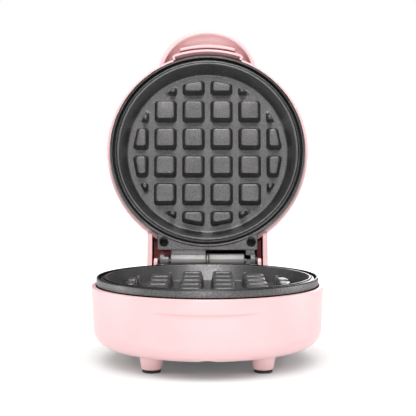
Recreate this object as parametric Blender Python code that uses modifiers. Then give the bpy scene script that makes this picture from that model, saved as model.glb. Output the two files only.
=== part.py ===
"""A small round waffle maker, open, as separate solids.

Lengths are in millimetres and are scaled to metres where a mesh, a curve or a location is made.
The base's axis is the Z axis of the empty "assembly". Both cast plates and what is bolted to them
are placed from the hinge axis: the disc's centre lies PIVOT in front of it, and Z points to the food.
"""

import math

import bmesh
import bpy
from mathutils import Matrix, Vector

MM = 0.001

# Driving dimensions
PLATE_R = {"lower": 61.5, "upper": 62.2}  # outer radius of each cast plate
BODY_R = 64.3  # outer radius of both housings where they face each other
PIVOT = 71.0  # from the discs' centre to the hinge axis
RIM_Z = 47.0  # the lower plate's rim above the floor
RIM_GAP = 0.15  # from each rim to the plane through the hinge axis
OPEN_DEG = 102.0  # from closed to the stop
SEAM = 4.8  # from a rim back to the edge of its housing
BASE_Z = 9.0  # underside of the base above the floor
LID_DEPTH = 31.0  # from the rim to the outside of the lid
WALL = 2.4
ORIGIN_Y = -31.6  # the base's axis, with the origin under the middle of the open appliance

# Cast plates
FLOOR = 9.3  # from the rim to the cooking floor
BACK = 12.0  # from the rim to the back of the floor
PITCH = 18.0
STUD_BASE = 6.8  # half width at the floor
STUD_TOP = 5.4  # half width at the top
STUD_H = 6.4
STUD_CIRCLE = 47.2  # circle that crops the outer studs
STUD_BLUNT = 1.6  # taken off each corner, along its sides
FLANGE_X = 31.4  # half width
FLANGE_TOP = 0.55  # from the rim
FLANGE_BACK = 4.35
FLANGE_END = 7.2  # the flange stops this far in front of the hinge axis
BARREL_R = 4.8
BARREL_X = (0.9, 22.9)
EAR_X = (-29.8, -23.8)
BORE_R = 2.35
SCREW_HOLE_R = 1.6
HINGE_SCREW = (27.4, 12.3)  # from the middle, and in front of the hinge axis
HINGE_SCREW_HEAD = 2.6
HINGE_SCREW_L = 11.5
BOSS_Y = 46.0  # the front boss, in front of the disc's centre
BOSS_END = 18.0  # its depth behind the rim

# Heater parts, as depths behind the rim
ELEMENT_R = 2.75
ELEMENT_RING = 30.0
ELEMENT_DEPTH = BACK + 0.3 + ELEMENT_R
CLAMP_DEPTH = ELEMENT_DEPTH + ELEMENT_R + 0.3
PAN_DEPTH = CLAMP_DEPTH + 1.3
PAN_R = 50.0
PAN_SHEET = 0.8
CLAMP_HALF = (35, 5)  # half length and half width of the bar that holds the element
ELEMENT_END = 8.0  # from the ring down to the cold ends

# Housings
BASE_CORNER = 10.0  # outside radius round the underside
LID_CORNER = 14.0
TOWER_X = 33.2  # half width of the tower that carries the hinge
TOWER_REAR = PIVOT - 0.6
CHEEK_X = 31.0  # inside faces of the cheeks beside the hinge
CHEEK_TOP = 2.4  # above the hinge axis
PILOT_R = 1.5  # holes that the hinge screws bite into
EXT_X = 37.6  # half width of the lid's hinge cover
EXT_WALL = 2.95
EXT_REAR = 10.5  # behind the hinge axis
EXT_TOP = 26.0
EDGE_R = 3.0  # rounding of the hinge cover and of the handle
HANDLE_A = 31.7  # half width
HANDLE_B = 29.0
HANDLE_Y = 51.5  # centre of the handle's outline, in front of the disc's centre
HANDLE_POWER = 2.05
HANDLE_LOW = 5.2
HANDLE_TOP = 13.6
HANDLE_WALL = 2.2
LAMP_Y = 27.0  # indicator lamp, in front of the disc's centre

# Feet: (x, y) from the base's axis
FEET = {
    "front_left": (-29.4, -35.0),
    "front_right": (29.4, -35.0),
    "rear_left": (-25.0, 60.0),
    "rear_right": (25.0, 60.0),
}
FOOT_R = 6.6
FOOT_END_R = 5.5
PAD_H = 1.3
VENTS = 5
VENT_PITCH = 8.0

# What lies in the base
GLAND_Z = 22.0
GLAND_R = 4.7
CLAMP_SCREW = (9, 53)  # each screw of the cord clamp, from the base's axis
LEAD_R = 1.1
FUSE_Y = 14
THERMOSTAT_Y = -15

SIDES = 40  # round parts as wide as the body
FINE = 20
SMALL = 12


def clear_scene():
    for obj in list(bpy.data.objects):
        bpy.data.objects.remove(obj, do_unlink=True)


def new_collection(name):
    made = bpy.data.collections.new(name)
    bpy.context.scene.collection.children.link(made)
    return made


def material(name, colour, roughness, metallic=0.0):
    made = bpy.data.materials.new(name)
    made.use_nodes = True
    shader = made.node_tree.nodes["Principled BSDF"]
    shader.inputs["Base Color"].default_value = (*colour, 1.0)
    shader.inputs["Roughness"].default_value = roughness
    shader.inputs["Metallic"].default_value = metallic
    return made


def empty(name, parent, location, rotation=(0, 0, 0)):
    made = bpy.data.objects.new(name, None)
    PARTS.objects.link(made)
    made.parent = parent
    made.location = Vector(location) * MM
    made.rotation_euler = rotation
    return made


# Shapes


def finished(bm):
    bmesh.ops.recalc_face_normals(bm, faces=bm.faces)
    if bm.calc_volume(signed=True) < 0:
        bmesh.ops.reverse_faces(bm, faces=bm.faces)
    mesh = bpy.data.meshes.new("shape")
    bm.to_mesh(mesh)
    bm.free()
    return mesh


def box(low, high, radius=0.0, rounded=None, segments=3):
    """A box between two corners. rounded picks, by its middle point in mm, each edge to round."""
    bm = bmesh.new()
    bmesh.ops.create_cube(bm, size=1.0)
    size = [b - a for a, b in zip(low, high)]
    middle = [(a + b) / 2 for a, b in zip(low, high)]
    bmesh.ops.scale(bm, vec=Vector(size) * MM, verts=bm.verts)
    bmesh.ops.translate(bm, vec=Vector(middle) * MM, verts=bm.verts)
    if rounded:
        edges = [e for e in bm.edges if rounded((e.verts[0].co + e.verts[1].co) / 2 / MM)]
        bmesh.ops.bevel(
            bm, geom=edges, offset=radius * MM, segments=segments, profile=0.5, affect="EDGES"
        )
    return finished(bm)


def rod(radius, start, end, sides=SMALL, end_radius=None):
    """A cylinder, or a cone, between two points."""
    start, end = Vector(start), Vector(end)
    span = end - start
    bm = bmesh.new()
    bmesh.ops.create_cone(
        bm,
        cap_ends=True,
        segments=sides,
        radius1=radius * MM,
        radius2=(radius if end_radius is None else end_radius) * MM,
        depth=span.length * MM,
    )
    turn = Vector((0, 0, 1)).rotation_difference(span).to_matrix().to_4x4()
    bm.transform(Matrix.Translation((start + end) / 2 * MM) @ turn)
    return finished(bm)


def prism(outline, axis, low, high):
    """A flat outline of (x, y) points pushed along z, or of (y, z) points pushed along x."""
    bm = bmesh.new()
    if axis == "z":
        corners = [(a, b, low) for a, b in outline]
        push = Vector((0, 0, high - low))
    else:
        corners = [(low, a, b) for a, b in outline]
        push = Vector((high - low, 0, 0))
    face = bm.faces.new([bm.verts.new(Vector(c) * MM) for c in corners])
    made = bmesh.ops.extrude_face_region(bm, geom=[face])["geom"]
    moved = [v for v in made if isinstance(v, bmesh.types.BMVert)]
    bmesh.ops.translate(bm, vec=push * MM, verts=moved)
    return finished(bm)


def profile(points):
    """The half section of a turned shape, as a line of (radius, height) points."""
    bm = bmesh.new()
    verts = [bm.verts.new((r * MM, 0, h * MM)) for r, h in points]
    for a, b in zip(verts, verts[1:]):
        bm.edges.new((a, b))
    mesh = bpy.data.meshes.new("profile")
    bm.to_mesh(mesh)
    bm.free()
    return mesh


def arc(centre, radius, start_deg, end_deg, steps):
    angles = [math.radians(start_deg + (end_deg - start_deg) * i / steps) for i in range(steps + 1)]
    return [(centre[0] + radius * math.cos(a), centre[1] + radius * math.sin(a)) for a in angles]


def superellipse(a, b, centre_y, power, count):
    points = []
    for i in range(count):
        angle = 2 * math.pi * i / count
        c, s = math.cos(angle), math.sin(angle)
        x = a * math.copysign(abs(c) ** (2 / power), c)
        y = b * math.copysign(abs(s) ** (2 / power), s)
        points.append((x, centre_y + y))
    return points


# Objects


def part(name, mesh, look, parent, location=(0, 0, 0), smooth=True):
    mesh.name = name
    obj = bpy.data.objects.new(name, mesh)
    PARTS.objects.link(obj)
    obj.parent = parent
    obj.location = Vector(location) * MM
    mesh.materials.append(look)
    if smooth:
        mesh.shade_smooth()
        mesh.set_sharp_from_angle(angle=math.radians(35))
    return obj


def helper(mesh, parent):
    obj = bpy.data.objects.new("helper", mesh)
    CUTTERS.objects.link(obj)
    obj.parent = parent
    obj.hide_render = True
    obj.display_type = "WIRE"
    return obj


def boolean(target, tool, operation):
    modifier = target.modifiers.new(operation.lower(), "BOOLEAN")
    modifier.operation = operation
    modifier.solver = "EXACT"
    modifier.object = tool


def cut(target, *meshes):
    """Takes shapes, in the target's own coordinates, away from it."""
    for mesh in meshes:
        boolean(target, helper(mesh, target), "DIFFERENCE")


def join(target, *meshes):
    """Adds shapes, in the target's own coordinates, to it."""
    for mesh in meshes:
        boolean(target, helper(mesh, target), "UNION")


def join_trimmed(target, mesh, trim):
    """Adds a shape to the target after taking the helper called trim away from the shape."""
    tool = helper(mesh, target)
    boolean(tool, trim, "DIFFERENCE")
    boolean(target, tool, "UNION")


def cut_trimmed(target, mesh, trim):
    """Takes a shape away from the target, except where the helper called trim lies."""
    tool = helper(mesh, target)
    boolean(tool, trim, "DIFFERENCE")
    boolean(target, tool, "DIFFERENCE")


def spin(obj, steps=SIDES):
    modifier = obj.modifiers.new("turned", "SCREW")
    modifier.steps = steps
    modifier.render_steps = steps
    modifier.use_merge_vertices = True
    modifier.merge_threshold = 0.00001
    return obj


def tube(name, points, radius, look, parent):
    """A round bar or an insulated lead through the points."""
    curve = bpy.data.curves.new(name, "CURVE")
    curve.dimensions = "3D"
    curve.bevel_depth = radius * MM
    curve.bevel_resolution = 2
    curve.use_fill_caps = True
    spline = curve.splines.new("POLY")
    spline.points.add(len(points) - 1)
    for target, point in zip(spline.points, points):
        target.co = (*(Vector(point) * MM), 1.0)
    curve.materials.append(look)
    obj = bpy.data.objects.new(name, curve)
    PARTS.objects.link(obj)
    obj.parent = parent
    return obj


def smoothed(points, per_span=3):
    """Points along a smooth curve through the given ones."""
    ends = [points[0], *points, points[-1]]
    found = []
    for p0, p1, p2, p3 in zip(ends, ends[1:], ends[2:], ends[3:]):
        p0, p1, p2, p3 = Vector(p0), Vector(p1), Vector(p2), Vector(p3)
        for i in range(per_span):
            t = i / per_span
            found.append(
                0.5
                * (
                    2 * p1
                    + (p2 - p0) * t
                    + (2 * p0 - 5 * p1 + 4 * p2 - p3) * t**2
                    + (3 * p1 - p0 - 3 * p2 + p3) * t**3
                )
            )
    return [*found, Vector(points[-1])]


def screw(name, parent, head_at, point_at, head_r, head_h, shank_r, look):
    """A cross-head screw from the middle of its head's face towards its point."""
    head, point = Vector(head_at), Vector(point_at)
    way = (point - head).normalized()
    obj = part(name, rod(head_r, head, head + way * head_h, SMALL), look, parent)
    join(obj, rod(shank_r, head + way * head_h * 0.5, point, SMALL))
    slot_x = head_r * 0.6
    slot_y = head_r * 0.16
    slot_h = head_h * 0.55
    for x, y in ((slot_x, slot_y), (slot_y, slot_x)):
        cut(obj, box(head - Vector((x, y, slot_h)), head + Vector((x, y, slot_h))))
    return obj


# Cast plates


def plate_section(radius):
    """Half section of the disc: floor, sloping wall, sealing ridge, groove, outer lip and back."""
    points = [
        (0, FLOOR),
        (51.6, FLOOR),
        (56.2, 0.5),
        (56.5, 0.2),
        (57.4, 0.2),
        (57.4, 1.4),
        (57.9, 1.4),
        (57.9, 0.6),
        (59.1, 1.1),
        (59.1, 2.8),
        (60.3, 2.8),
        (60.3, 0.3),
        (60.6, 0.0),
        (radius - 0.6, 0.0),
        (radius, 0.6),
        (radius, SEAM - 0.45),
        (60.4, SEAM - 0.45),
        (60.4, 7.6),
        (57.4, 7.6),
        (55.0, BACK),
        (0, BACK),
    ]
    return [(r, -RIM_GAP - depth) for r, depth in points]


def cropped(square, radius):
    """A square's corners, without the part that lies outside a straight line across the circle."""
    centre = sum(square, Vector((0, 0))) / 4
    out = centre.normalized()
    kept = []
    for a, b in zip(square, square[1:] + square[:1]):
        over_a, over_b = a.dot(out) - radius, b.dot(out) - radius
        if over_a <= 0:
            kept.append(a)
        if over_a * over_b < 0:
            kept.append(a + (b - a) * over_a / (over_a - over_b))
    return kept


def blunted(corners):
    """The outline with each corner taken off."""
    made = []
    for before, here, after in zip(corners[-1:] + corners[:-1], corners, corners[1:] + corners[:1]):
        for other in (before, after):
            side = other - here
            made.append(here + side * min(0.35, STUD_BLUNT / side.length))
    return made


def stud(bm, x, y):
    """One tapering stud, cropped where it would pass the stud circle."""
    small = abs(x * y) > (1.5 * PITCH) ** 2
    taper = (STUD_BASE - STUD_TOP) * (0.5 if small else 1.0)
    rings = []
    for inset, depth in ((0.0, FLOOR + 0.6), (taper, FLOOR - STUD_H)):
        half = STUD_BASE - inset
        corners = [Vector((x + half * i, y + half * j)) for i, j in ((-1, -1), (1, -1), (1, 1), (-1, 1))]
        if max(abs(x), abs(y)) > 2 * PITCH:
            corners = cropped(corners, STUD_CIRCLE - 1.6 * inset)
        z = -RIM_GAP - depth
        rings.append([bm.verts.new(Vector((*p, z)) * MM) for p in blunted(corners)])
    low, top = rings
    bm.faces.new(low)
    bm.faces.new(top)
    for i, vert in enumerate(low):
        j = (i + 1) % len(low)
        bm.faces.new((vert, low[j], top[j], top[i]))


def studs():
    """The grid of studs, one closed body each."""
    bm = bmesh.new()
    places = [PITCH * (i - 2.5) for i in range(6)]
    for x in places:
        for y in places:
            if math.hypot(abs(x) - STUD_BASE, abs(y) - STUD_BASE) < STUD_CIRCLE - 1:
                stud(bm, x, y)
    return finished(bm)


def plate(side, parent, look):
    """One casting: disc, studs, flange, hinge barrel, hinge ear and the bosses on its back."""
    radius = PLATE_R[side]
    obj = part(f"{side}_plate", profile(plate_section(radius)), look, parent, (0, -PIVOT, 0))
    spin(obj)
    top = -RIM_GAP - FLANGE_TOP
    back = -RIM_GAP - FLANGE_BACK
    disc = helper(rod(radius - 0.8, (0, 0, -20), (0, 0, 20), SIDES), obj)
    flange = box((-FLANGE_X, 40, back), (FLANGE_X, PIVOT - FLANGE_END, top))
    join_trimmed(obj, flange, disc)
    for x0, x1 in (BARREL_X, EAR_X):
        web_low = (x0 + 0.2, PIVOT - FLANGE_END - 1.5, back + 0.1)
        web_high = (x1 - 0.2, PIVOT - 2.5, top - 0.3)
        join(obj, box(web_low, web_high), rod(BARREL_R, (x0, PIVOT, 0), (x1, PIVOT, 0), FINE))
    bosses = ((0, 4.5, CLAMP_DEPTH + RIM_GAP - 0.5), (-BOSS_Y, 4.0, BOSS_END))
    for y, boss_r, depth in bosses:
        join(obj, rod(boss_r, (0, y, -BACK + 0.5), (0, y, -depth)))
    join(obj, studs())
    cut(obj, rod(BORE_R, (EAR_X[0] - 1, PIVOT, 0), (BARREL_X[1] + 1, PIVOT, 0)))
    ear_step = EAR_X[1] - 3.3
    cut(
        obj,
        box((ear_step, PIVOT - 6, 3.6), (EAR_X[1] + 1, PIVOT + 6, 8)),
        box((ear_step + 0.4, PIVOT - 3.6, -0.9), (EAR_X[1] + 1, PIVOT - 0.9, 8)),
    )
    for y, _, depth in bosses:
        cut(obj, rod(SCREW_HOLE_R, (0, y, -BACK + 0.5), (0, y, -depth - 1)))
    for side_x in (-1, 1):
        x, y = side_x * HINGE_SCREW[0], PIVOT - HINGE_SCREW[1]
        cut(
            obj,
            rod(HINGE_SCREW_HEAD + 0.35, (x, y, top - 2.0), (x, y, 3)),
            rod(SCREW_HOLE_R, (x, y, -9), (x, y, 3)),
        )


def element(side, parent, look):
    """The tubular element: nearly a full ring, with both ends turned down through the pan."""
    depth = -RIM_GAP - ELEMENT_DEPTH
    ring = arc((0, -PIVOT), ELEMENT_RING, 104, 436, 18)
    first, last = ring[0], ring[-1]
    route = [
        (*first, depth - ELEMENT_END),
        (*first, depth - 2.2),
        (first[0] - 1.2, first[1], depth - 0.6),
        *[(x, y, depth) for x, y in ring[2:-2]],
        (last[0] + 1.2, last[1], depth - 0.6),
        (*last, depth - 2.2),
        (*last, depth - ELEMENT_END),
    ]
    tube(f"{side}_element", route, ELEMENT_R, look, parent)


def heater(side, parent, looks):
    """The element under a casting, with its clamp bar, screw and reflector pan."""
    element(side, parent, looks["element"])
    low = -RIM_GAP - CLAMP_DEPTH
    half_x, half_y = CLAMP_HALF
    bar = box(
        (-half_x, -PIVOT - half_y, low - 1.0),
        (half_x, -PIVOT + half_y, low),
        half_y - 0.1,
        lambda p: abs(p.x) > half_x - 1 and abs(p.y + PIVOT) > half_y - 1,
    )
    clamp = part(f"{side}_element_clamp", bar, looks["steel"], parent)
    cut(clamp, rod(1.8, (0, -PIVOT, -5), (0, -PIVOT, -40)))

    pan_top = -RIM_GAP - PAN_DEPTH
    section = [
        (0, pan_top),
        (PAN_R - 1.5, pan_top),
        (PAN_R + 0.5, pan_top + 1.6),
        (PAN_R + 3.0, pan_top + 6.0),
        (PAN_R + 4.0, pan_top + 6.0),
        (PAN_R + 1.2, pan_top + 1.0),
        (PAN_R - 1.2, pan_top - PAN_SHEET),
        (0, pan_top - PAN_SHEET),
    ]
    pan = part(f"{side}_reflector", profile(section), looks["reflector"], parent, (0, -PIVOT, 0))
    spin(pan, 24)
    low, high = pan_top - 5, pan_top + 5
    cut(
        pan,
        rod(1.8, (0, 0, low), (0, 0, high)),
        rod(8.2, (0, THERMOSTAT_Y, low), (0, THERMOSTAT_Y, high), FINE),
        rod(5.0, (0, -BOSS_Y, low), (0, -BOSS_Y, high)),
        box((-13, 22, low), (13, 34, pan_top + 3)),
    )
    head_h = 1.8
    head = (0, -PIVOT, pan_top - PAN_SHEET - 0.3 - head_h)
    point = (0, -PIVOT, -RIM_GAP - BACK - 1.0)
    screw(f"{side}_clamp_screw", parent, head, point, 3.0, head_h, 1.3, looks["zinc"])


def hinge_screws(side, parent, look):
    """The two black screws that hold a casting's flange down on its housing."""
    head = -RIM_GAP - FLANGE_TOP - 0.6
    for word, sign in (("left", -1), ("right", 1)):
        x, y = sign * HINGE_SCREW[0], -HINGE_SCREW[1]
        if side == "upper":
            word = "right" if word == "left" else "left"
        name = f"{side}_hinge_screw_{word}"
        screw(name, parent, (x, y, head), (x, y, head - HINGE_SCREW_L), HINGE_SCREW_HEAD, 1.15, 1.2, look)


def hinge_pin_set(parent, looks):
    """The pin through both castings, its clip, and the washer between the two barrels."""
    pin = part("hinge_pin", rod(2.0, (-30.7, 0, 0), (30.2, 0, 0), FINE), looks["pin"], parent)
    join(pin, rod(3.1, (30.05, 0, 0), (30.7, 0, 0), FINE))
    cut_ring(pin, -30.45, -30.05, 1.75)
    clip = part("hinge_clip", rod(3.3, (-30.4, 0, 0), (-30.1, 0, 0), FINE), looks["zinc"], parent)
    cut(clip, rod(1.95, (-32, 0, 0), (-28, 0, 0), FINE), box((-32, -1.0, -8), (-28, 1.0, 0)))
    washer = part("hinge_washer", rod(4.4, (-0.6, 0, 0), (0.6, 0, 0), FINE), looks["brass"], parent)
    cut(washer, rod(2.3, (-3, 0, 0), (3, 0, 0), FINE))


def cut_ring(target, x0, x1, radius):
    """A groove round the X axis."""
    tool = helper(rod(6.0, (x0, 0, 0), (x1, 0, 0), FINE), target)
    boolean(tool, helper(rod(radius, (x0 - 1, 0, 0), (x1 + 1, 0, 0), FINE), target), "DIFFERENCE")
    boolean(target, tool, "DIFFERENCE")


# Base


def base_section(centre, top):
    """Half section of the cup, from the middle of its inside to the middle of its underside."""
    return [
        (0, BASE_Z + WALL),
        *arc(centre, BASE_CORNER - WALL, -90, 0, 3),
        (BODY_R - WALL, top),
        (BODY_R - 0.6, top),
        (BODY_R, top - 0.6),
        *arc(centre, BASE_CORNER, 0, -90, 5),
        (0, BASE_Z),
    ]


def base_housing(parent, look):
    """The cup that stands on the floor, with the hinge tower behind it."""
    top = RIM_Z - SEAM
    centre = (BODY_R - 1.0 - BASE_CORNER, BASE_Z + BASE_CORNER)
    obj = part("base_housing", profile(base_section(centre, top)), look, parent)
    spin(obj)
    bowl = [
        (0, 90),
        (BODY_R - 1.2, 90),
        *arc(centre, BASE_CORNER - 1.2, 0, -90, 5),
        (0, BASE_Z + 1.2),
    ]
    hinge_tower(obj, top, spin(helper(profile(bowl), obj)))
    base_screw_posts(obj, top)
    for x, y in FEET.values():
        join(obj, rod(FOOT_R + 0.2, (x, y, BASE_Z + 1.5), (x, y, PAD_H + 0.3), FINE, FOOT_END_R))
        cut(obj, rod(2.3, (x, y, -1), (x, y, 6.6)))
    cut(
        obj,
        rod(5.0, (0, TOWER_REAR - 6, GLAND_Z), (0, TOWER_REAR + 6, GLAND_Z), FINE),
        rod(12.3, (0, -80, BASE_Z - 11.0), (0, -50, BASE_Z - 11.0), 32),
    )
    for i in range(VENTS):
        x = VENT_PITCH * (i - (VENTS - 1) / 2)
        cut(obj, box((x - 1.5, -14, BASE_Z - 2), (x + 1.5, 14, BASE_Z + 6)))
    finger_scoop(obj)


def hinge_tower(obj, top, bowl):
    """The hollow block behind the cup, open into it, with a cheek at each end of the hinge."""
    tower = box(
        (-TOWER_X, 30, BASE_Z + 0.4),
        (TOWER_X, TOWER_REAR, top - 0.3),
        6.0,
        lambda p: p.y > TOWER_REAR - 1 and abs(p.x) > 20,
    )
    join_trimmed(obj, tower, bowl)
    y0, y1 = PIVOT - 6.6, TOWER_REAR
    r = (y1 - y0) / 2
    hub = ((y0 + y1) / 2, RIM_Z + RIM_GAP + CHEEK_TOP - r)
    for sign in (-1, 1):
        x0, x1 = sorted((sign * CHEEK_X, sign * TOWER_X))
        join(obj, prism([(y1, 34), *arc(hub, r, 0, 180, 6), (y0, 34)], "x", x0, x1))
    cut(obj, box((-CHEEK_X, BODY_R - 0.9, top - 1.0), (CHEEK_X, 90, 70)))

    drum = helper(rod(BODY_R + 0.3, (0, 0, -5), (0, 0, 90), SIDES), obj)
    rear = TOWER_REAR - WALL
    room = box(
        (-TOWER_X + WALL, PIVOT - HINGE_SCREW[1], BASE_Z + WALL),
        (TOWER_X - WALL, rear, top - 1.0 - WALL),
        4.0,
        lambda p: p.y > rear - 1 and abs(p.x) > 20,
    )
    cut_trimmed(obj, room, drum)
    cut(obj, box((-11, 52, BASE_Z + 4), (11, rear - 1, BASE_Z + 24)))


def base_screw_posts(obj, top):
    """Posts for the hinge screws and the cord clamp, and the tube for the front screw."""
    for sign in (-1, 1):
        x, y = sign * HINGE_SCREW[0], PIVOT - HINGE_SCREW[1]
        join(obj, rod(3.8, (x, y, BASE_Z + 1), (x, y, top - 0.1)))
        cut(obj, rod(PILOT_R, (x, y, top - 14), (x, y, top + 5)))
        x, y = sign * CLAMP_SCREW[0], CLAMP_SCREW[1]
        join(obj, rod(3.0, (x, y, BASE_Z + 1), (x, y, BASE_Z + 8)))
        cut(obj, rod(1.3, (x, y, BASE_Z + 3), (x, y, BASE_Z + 12)))
    join(obj, rod(4.4, (0, -BOSS_Y, BASE_Z + 1), (0, -BOSS_Y, RIM_Z - BOSS_END - 0.3), FINE))
    cut(
        obj,
        rod(3.2, (0, -BOSS_Y, -1), (0, -BOSS_Y, 18)),
        rod(1.7, (0, -BOSS_Y, 10), (0, -BOSS_Y, 40)),
    )


def finger_scoop(obj):
    """A shallow hollow in the front, deepest along its top edge and running out below."""
    high, low = RIM_Z - 12.2, 17.0
    deep = 1.2
    front = BODY_R - 0.3
    half = 29.5
    bend = 1 / (1 / front - 2 * deep / half**2)
    centre_y = bend - front + deep
    tool = helper(box((-40, -80, low), (40, -40, high)), obj)
    body = rod(bend + deep, (0, centre_y, low - 5), (0, centre_y, high + 0.5), 96, bend)
    boolean(tool, helper(body, obj), "DIFFERENCE")
    boolean(obj, tool, "DIFFERENCE")


def foot_pads(parent, look):
    for place, (x, y) in FEET.items():
        pad = part(f"foot_pad_{place}", rod(4.9, (x, y, 0), (x, y, PAD_H), FINE), look, parent)
        join(pad, rod(2.0, (x, y, 0.5), (x, y, 6.0), SMALL))


def cord_entry(parent, looks):
    """The rubber gland in the back wall, and the bar that grips the cord inside."""
    y, z = TOWER_REAR, GLAND_Z
    gland = part("cord_gland", rod(GLAND_R, (0, y - 7, z), (0, y + 1, z), FINE), looks["rubber"], parent)
    join(gland, rod(6.6, (0, y + 0.3, z), (0, y + 1.9, z), FINE, 5.6))
    join(gland, rod(6.2, (0, y - 4.7, z), (0, y - 2.8, z), FINE))
    cut(gland, rod(3.3, (0, y - 12, z), (0, y + 6, z), FINE))

    x, y = CLAMP_SCREW
    low = BASE_Z + 8.3
    bar = box((-x - 3, y - 3.5, low), (x + 3, y + 3.5, low + 2.6))
    clamp = part("cord_clamp", bar, looks["nylon"], parent)
    cut(clamp, rod(4.2, (0, y - 8, low - 2.6), (0, y + 7, low - 2.6)))
    for word, sign in (("left", -1), ("right", 1)):
        at = sign * x
        cut(clamp, rod(1.4, (at, y, low - 2), (at, y, low + 5)))
        name = f"cord_clamp_screw_{word}"
        screw(name, parent, (at, y, low + 4.2), (at, y, BASE_Z + 4), 2.2, 1.3, 1.0, looks["zinc"])


def terminal_block(parent, look):
    low = BASE_Z + WALL + 0.3
    block = part("terminal_block", box((-14, 30, low), (14, 40, low + 9)), look, parent)
    for i in range(3):
        x = 9.0 * (i - 1)
        cut(block, box((x - 2.6, 28, low + 1.5), (x + 2.6, 42, low + 5.5)))
        cut(block, rod(2.0, (x, 35, low + 4), (x, 35, low + 12)))


def thermostat(parent, look):
    """The disc thermostat under the lower plate, with its two tabs."""
    y = THERMOSTAT_Y
    pan_low = RIM_Z - PAN_DEPTH - PAN_SHEET
    body = rod(7.6, (0, y, pan_low - 4), (0, y, RIM_Z - BACK - 0.3), FINE)
    obj = part("thermostat", body, look, parent)
    for x in (-4, 4):
        join(obj, box((x - 1.6, y - 0.4, pan_low - 10), (x + 1.6, y + 0.4, pan_low - 3)))


def thermal_fuse(parent, looks):
    """The fuse under the pan and the bent clip that holds it."""
    y, z = FUSE_Y, RIM_Z - PAN_DEPTH - PAN_SHEET - 3.3
    fuse = part("thermal_fuse", rod(2.0, (-6, y, z), (6, y, z)), looks["zinc"], parent)
    join(fuse, rod(0.6, (-11, y, z), (11, y, z), 8))
    low, high = z - 2.6, z + 3.0
    clip = part("fuse_clip", box((-3, y - 3, low), (3, y + 6, high)), looks["steel"], parent)
    cut(clip, rod(2.3, (-8, y, z), (8, y, z)), box((-8, y + 2.9, low - 1), (8, y + 11, high - 0.8)))


def base_leads(parent, look):
    z = BASE_Z + WALL + 3.8
    pan_low = RIM_Z - PAN_DEPTH - PAN_SHEET
    live = [
        (-9, 29.5, z),
        (-10, 22, z + 1),
        (-12, 6, z),
        (-10, -8, z + 0.5),
        (-4, -12, pan_low - 12),
    ]
    neutral = [(9, 29.5, z), (13, 20, z), (15, 16, pan_low - 6), (13.2, FUSE_Y, pan_low - 3.3)]
    tube("live_lead", smoothed(live), LEAD_R, look, parent)
    tube("neutral_lead", smoothed(neutral), LEAD_R, look, parent)


def base_fittings(parent, looks):
    head, point = (0, -BOSS_Y, 15.6), (0, -BOSS_Y, 34.0)
    screw("base_front_screw", parent, head, point, 2.8, 2.1, 1.3, looks["zinc"])
    cord_entry(parent, looks)
    terminal_block(parent, looks["nylon"])
    thermostat(parent, looks["nylon"])
    thermal_fuse(parent, looks)
    base_leads(parent, looks["lead"])


# Lid, in the coordinates that it has when closed: origin on the hinge axis, Z up


def lid_housing(parent, look):
    """The domed cover with the hinge cover behind and the handle in front."""
    centre = (BODY_R - LID_CORNER, LID_DEPTH - LID_CORNER)
    section = [
        (0, LID_DEPTH),
        *arc(centre, LID_CORNER, 90, 0, 6),
        (BODY_R, SEAM + 0.6),
        (BODY_R - 0.6, SEAM),
        (BODY_R - WALL, SEAM),
        *arc(centre, LID_CORNER - WALL, 0, 90, 4),
        (0, LID_DEPTH - WALL),
    ]
    obj = part("lid_housing", profile(section), look, parent, (0, -PIVOT, 0))
    spin(obj)
    hinge_cover(obj)
    handle(obj)
    for sign in (-1, 1):
        x, y = sign * HINGE_SCREW[0], PIVOT - HINGE_SCREW[1]
        join(obj, rod(3.7, (x, y, FLANGE_BACK + 0.5), (x, y, EXT_TOP - 1.2), 16))
        cut(obj, rod(PILOT_R, (x, y, 0), (x, y, 18)))
    join(
        obj,
        rod(4.4, (0, -BOSS_Y, BOSS_END + 0.5), (0, -BOSS_Y, LID_DEPTH - 1), FINE),
        rod(1.25, (0, -BOSS_Y, BACK + 2), (0, -BOSS_Y, LID_DEPTH - 1)),
    )
    cut(obj, rod(2.6, (0, -LAMP_Y, 20), (0, -LAMP_Y, 40), FINE))


def round_edges(tool, chosen):
    """Rounds each edge of the helper that chosen, given its two ends in mm, picks."""
    rounding = tool.modifiers.new("rounding", "BEVEL")
    rounding.width = EDGE_R * MM
    rounding.segments = 3
    rounding.limit_method = "WEIGHT"
    weights = tool.data.attributes.new("bevel_weight_edge", "FLOAT", "EDGE")
    for edge in tool.data.edges:
        a, b = (tool.data.vertices[i].co / MM for i in edge.vertices)
        weights.data[edge.index].value = 1.0 if chosen(a, b) else 0.0


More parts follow.
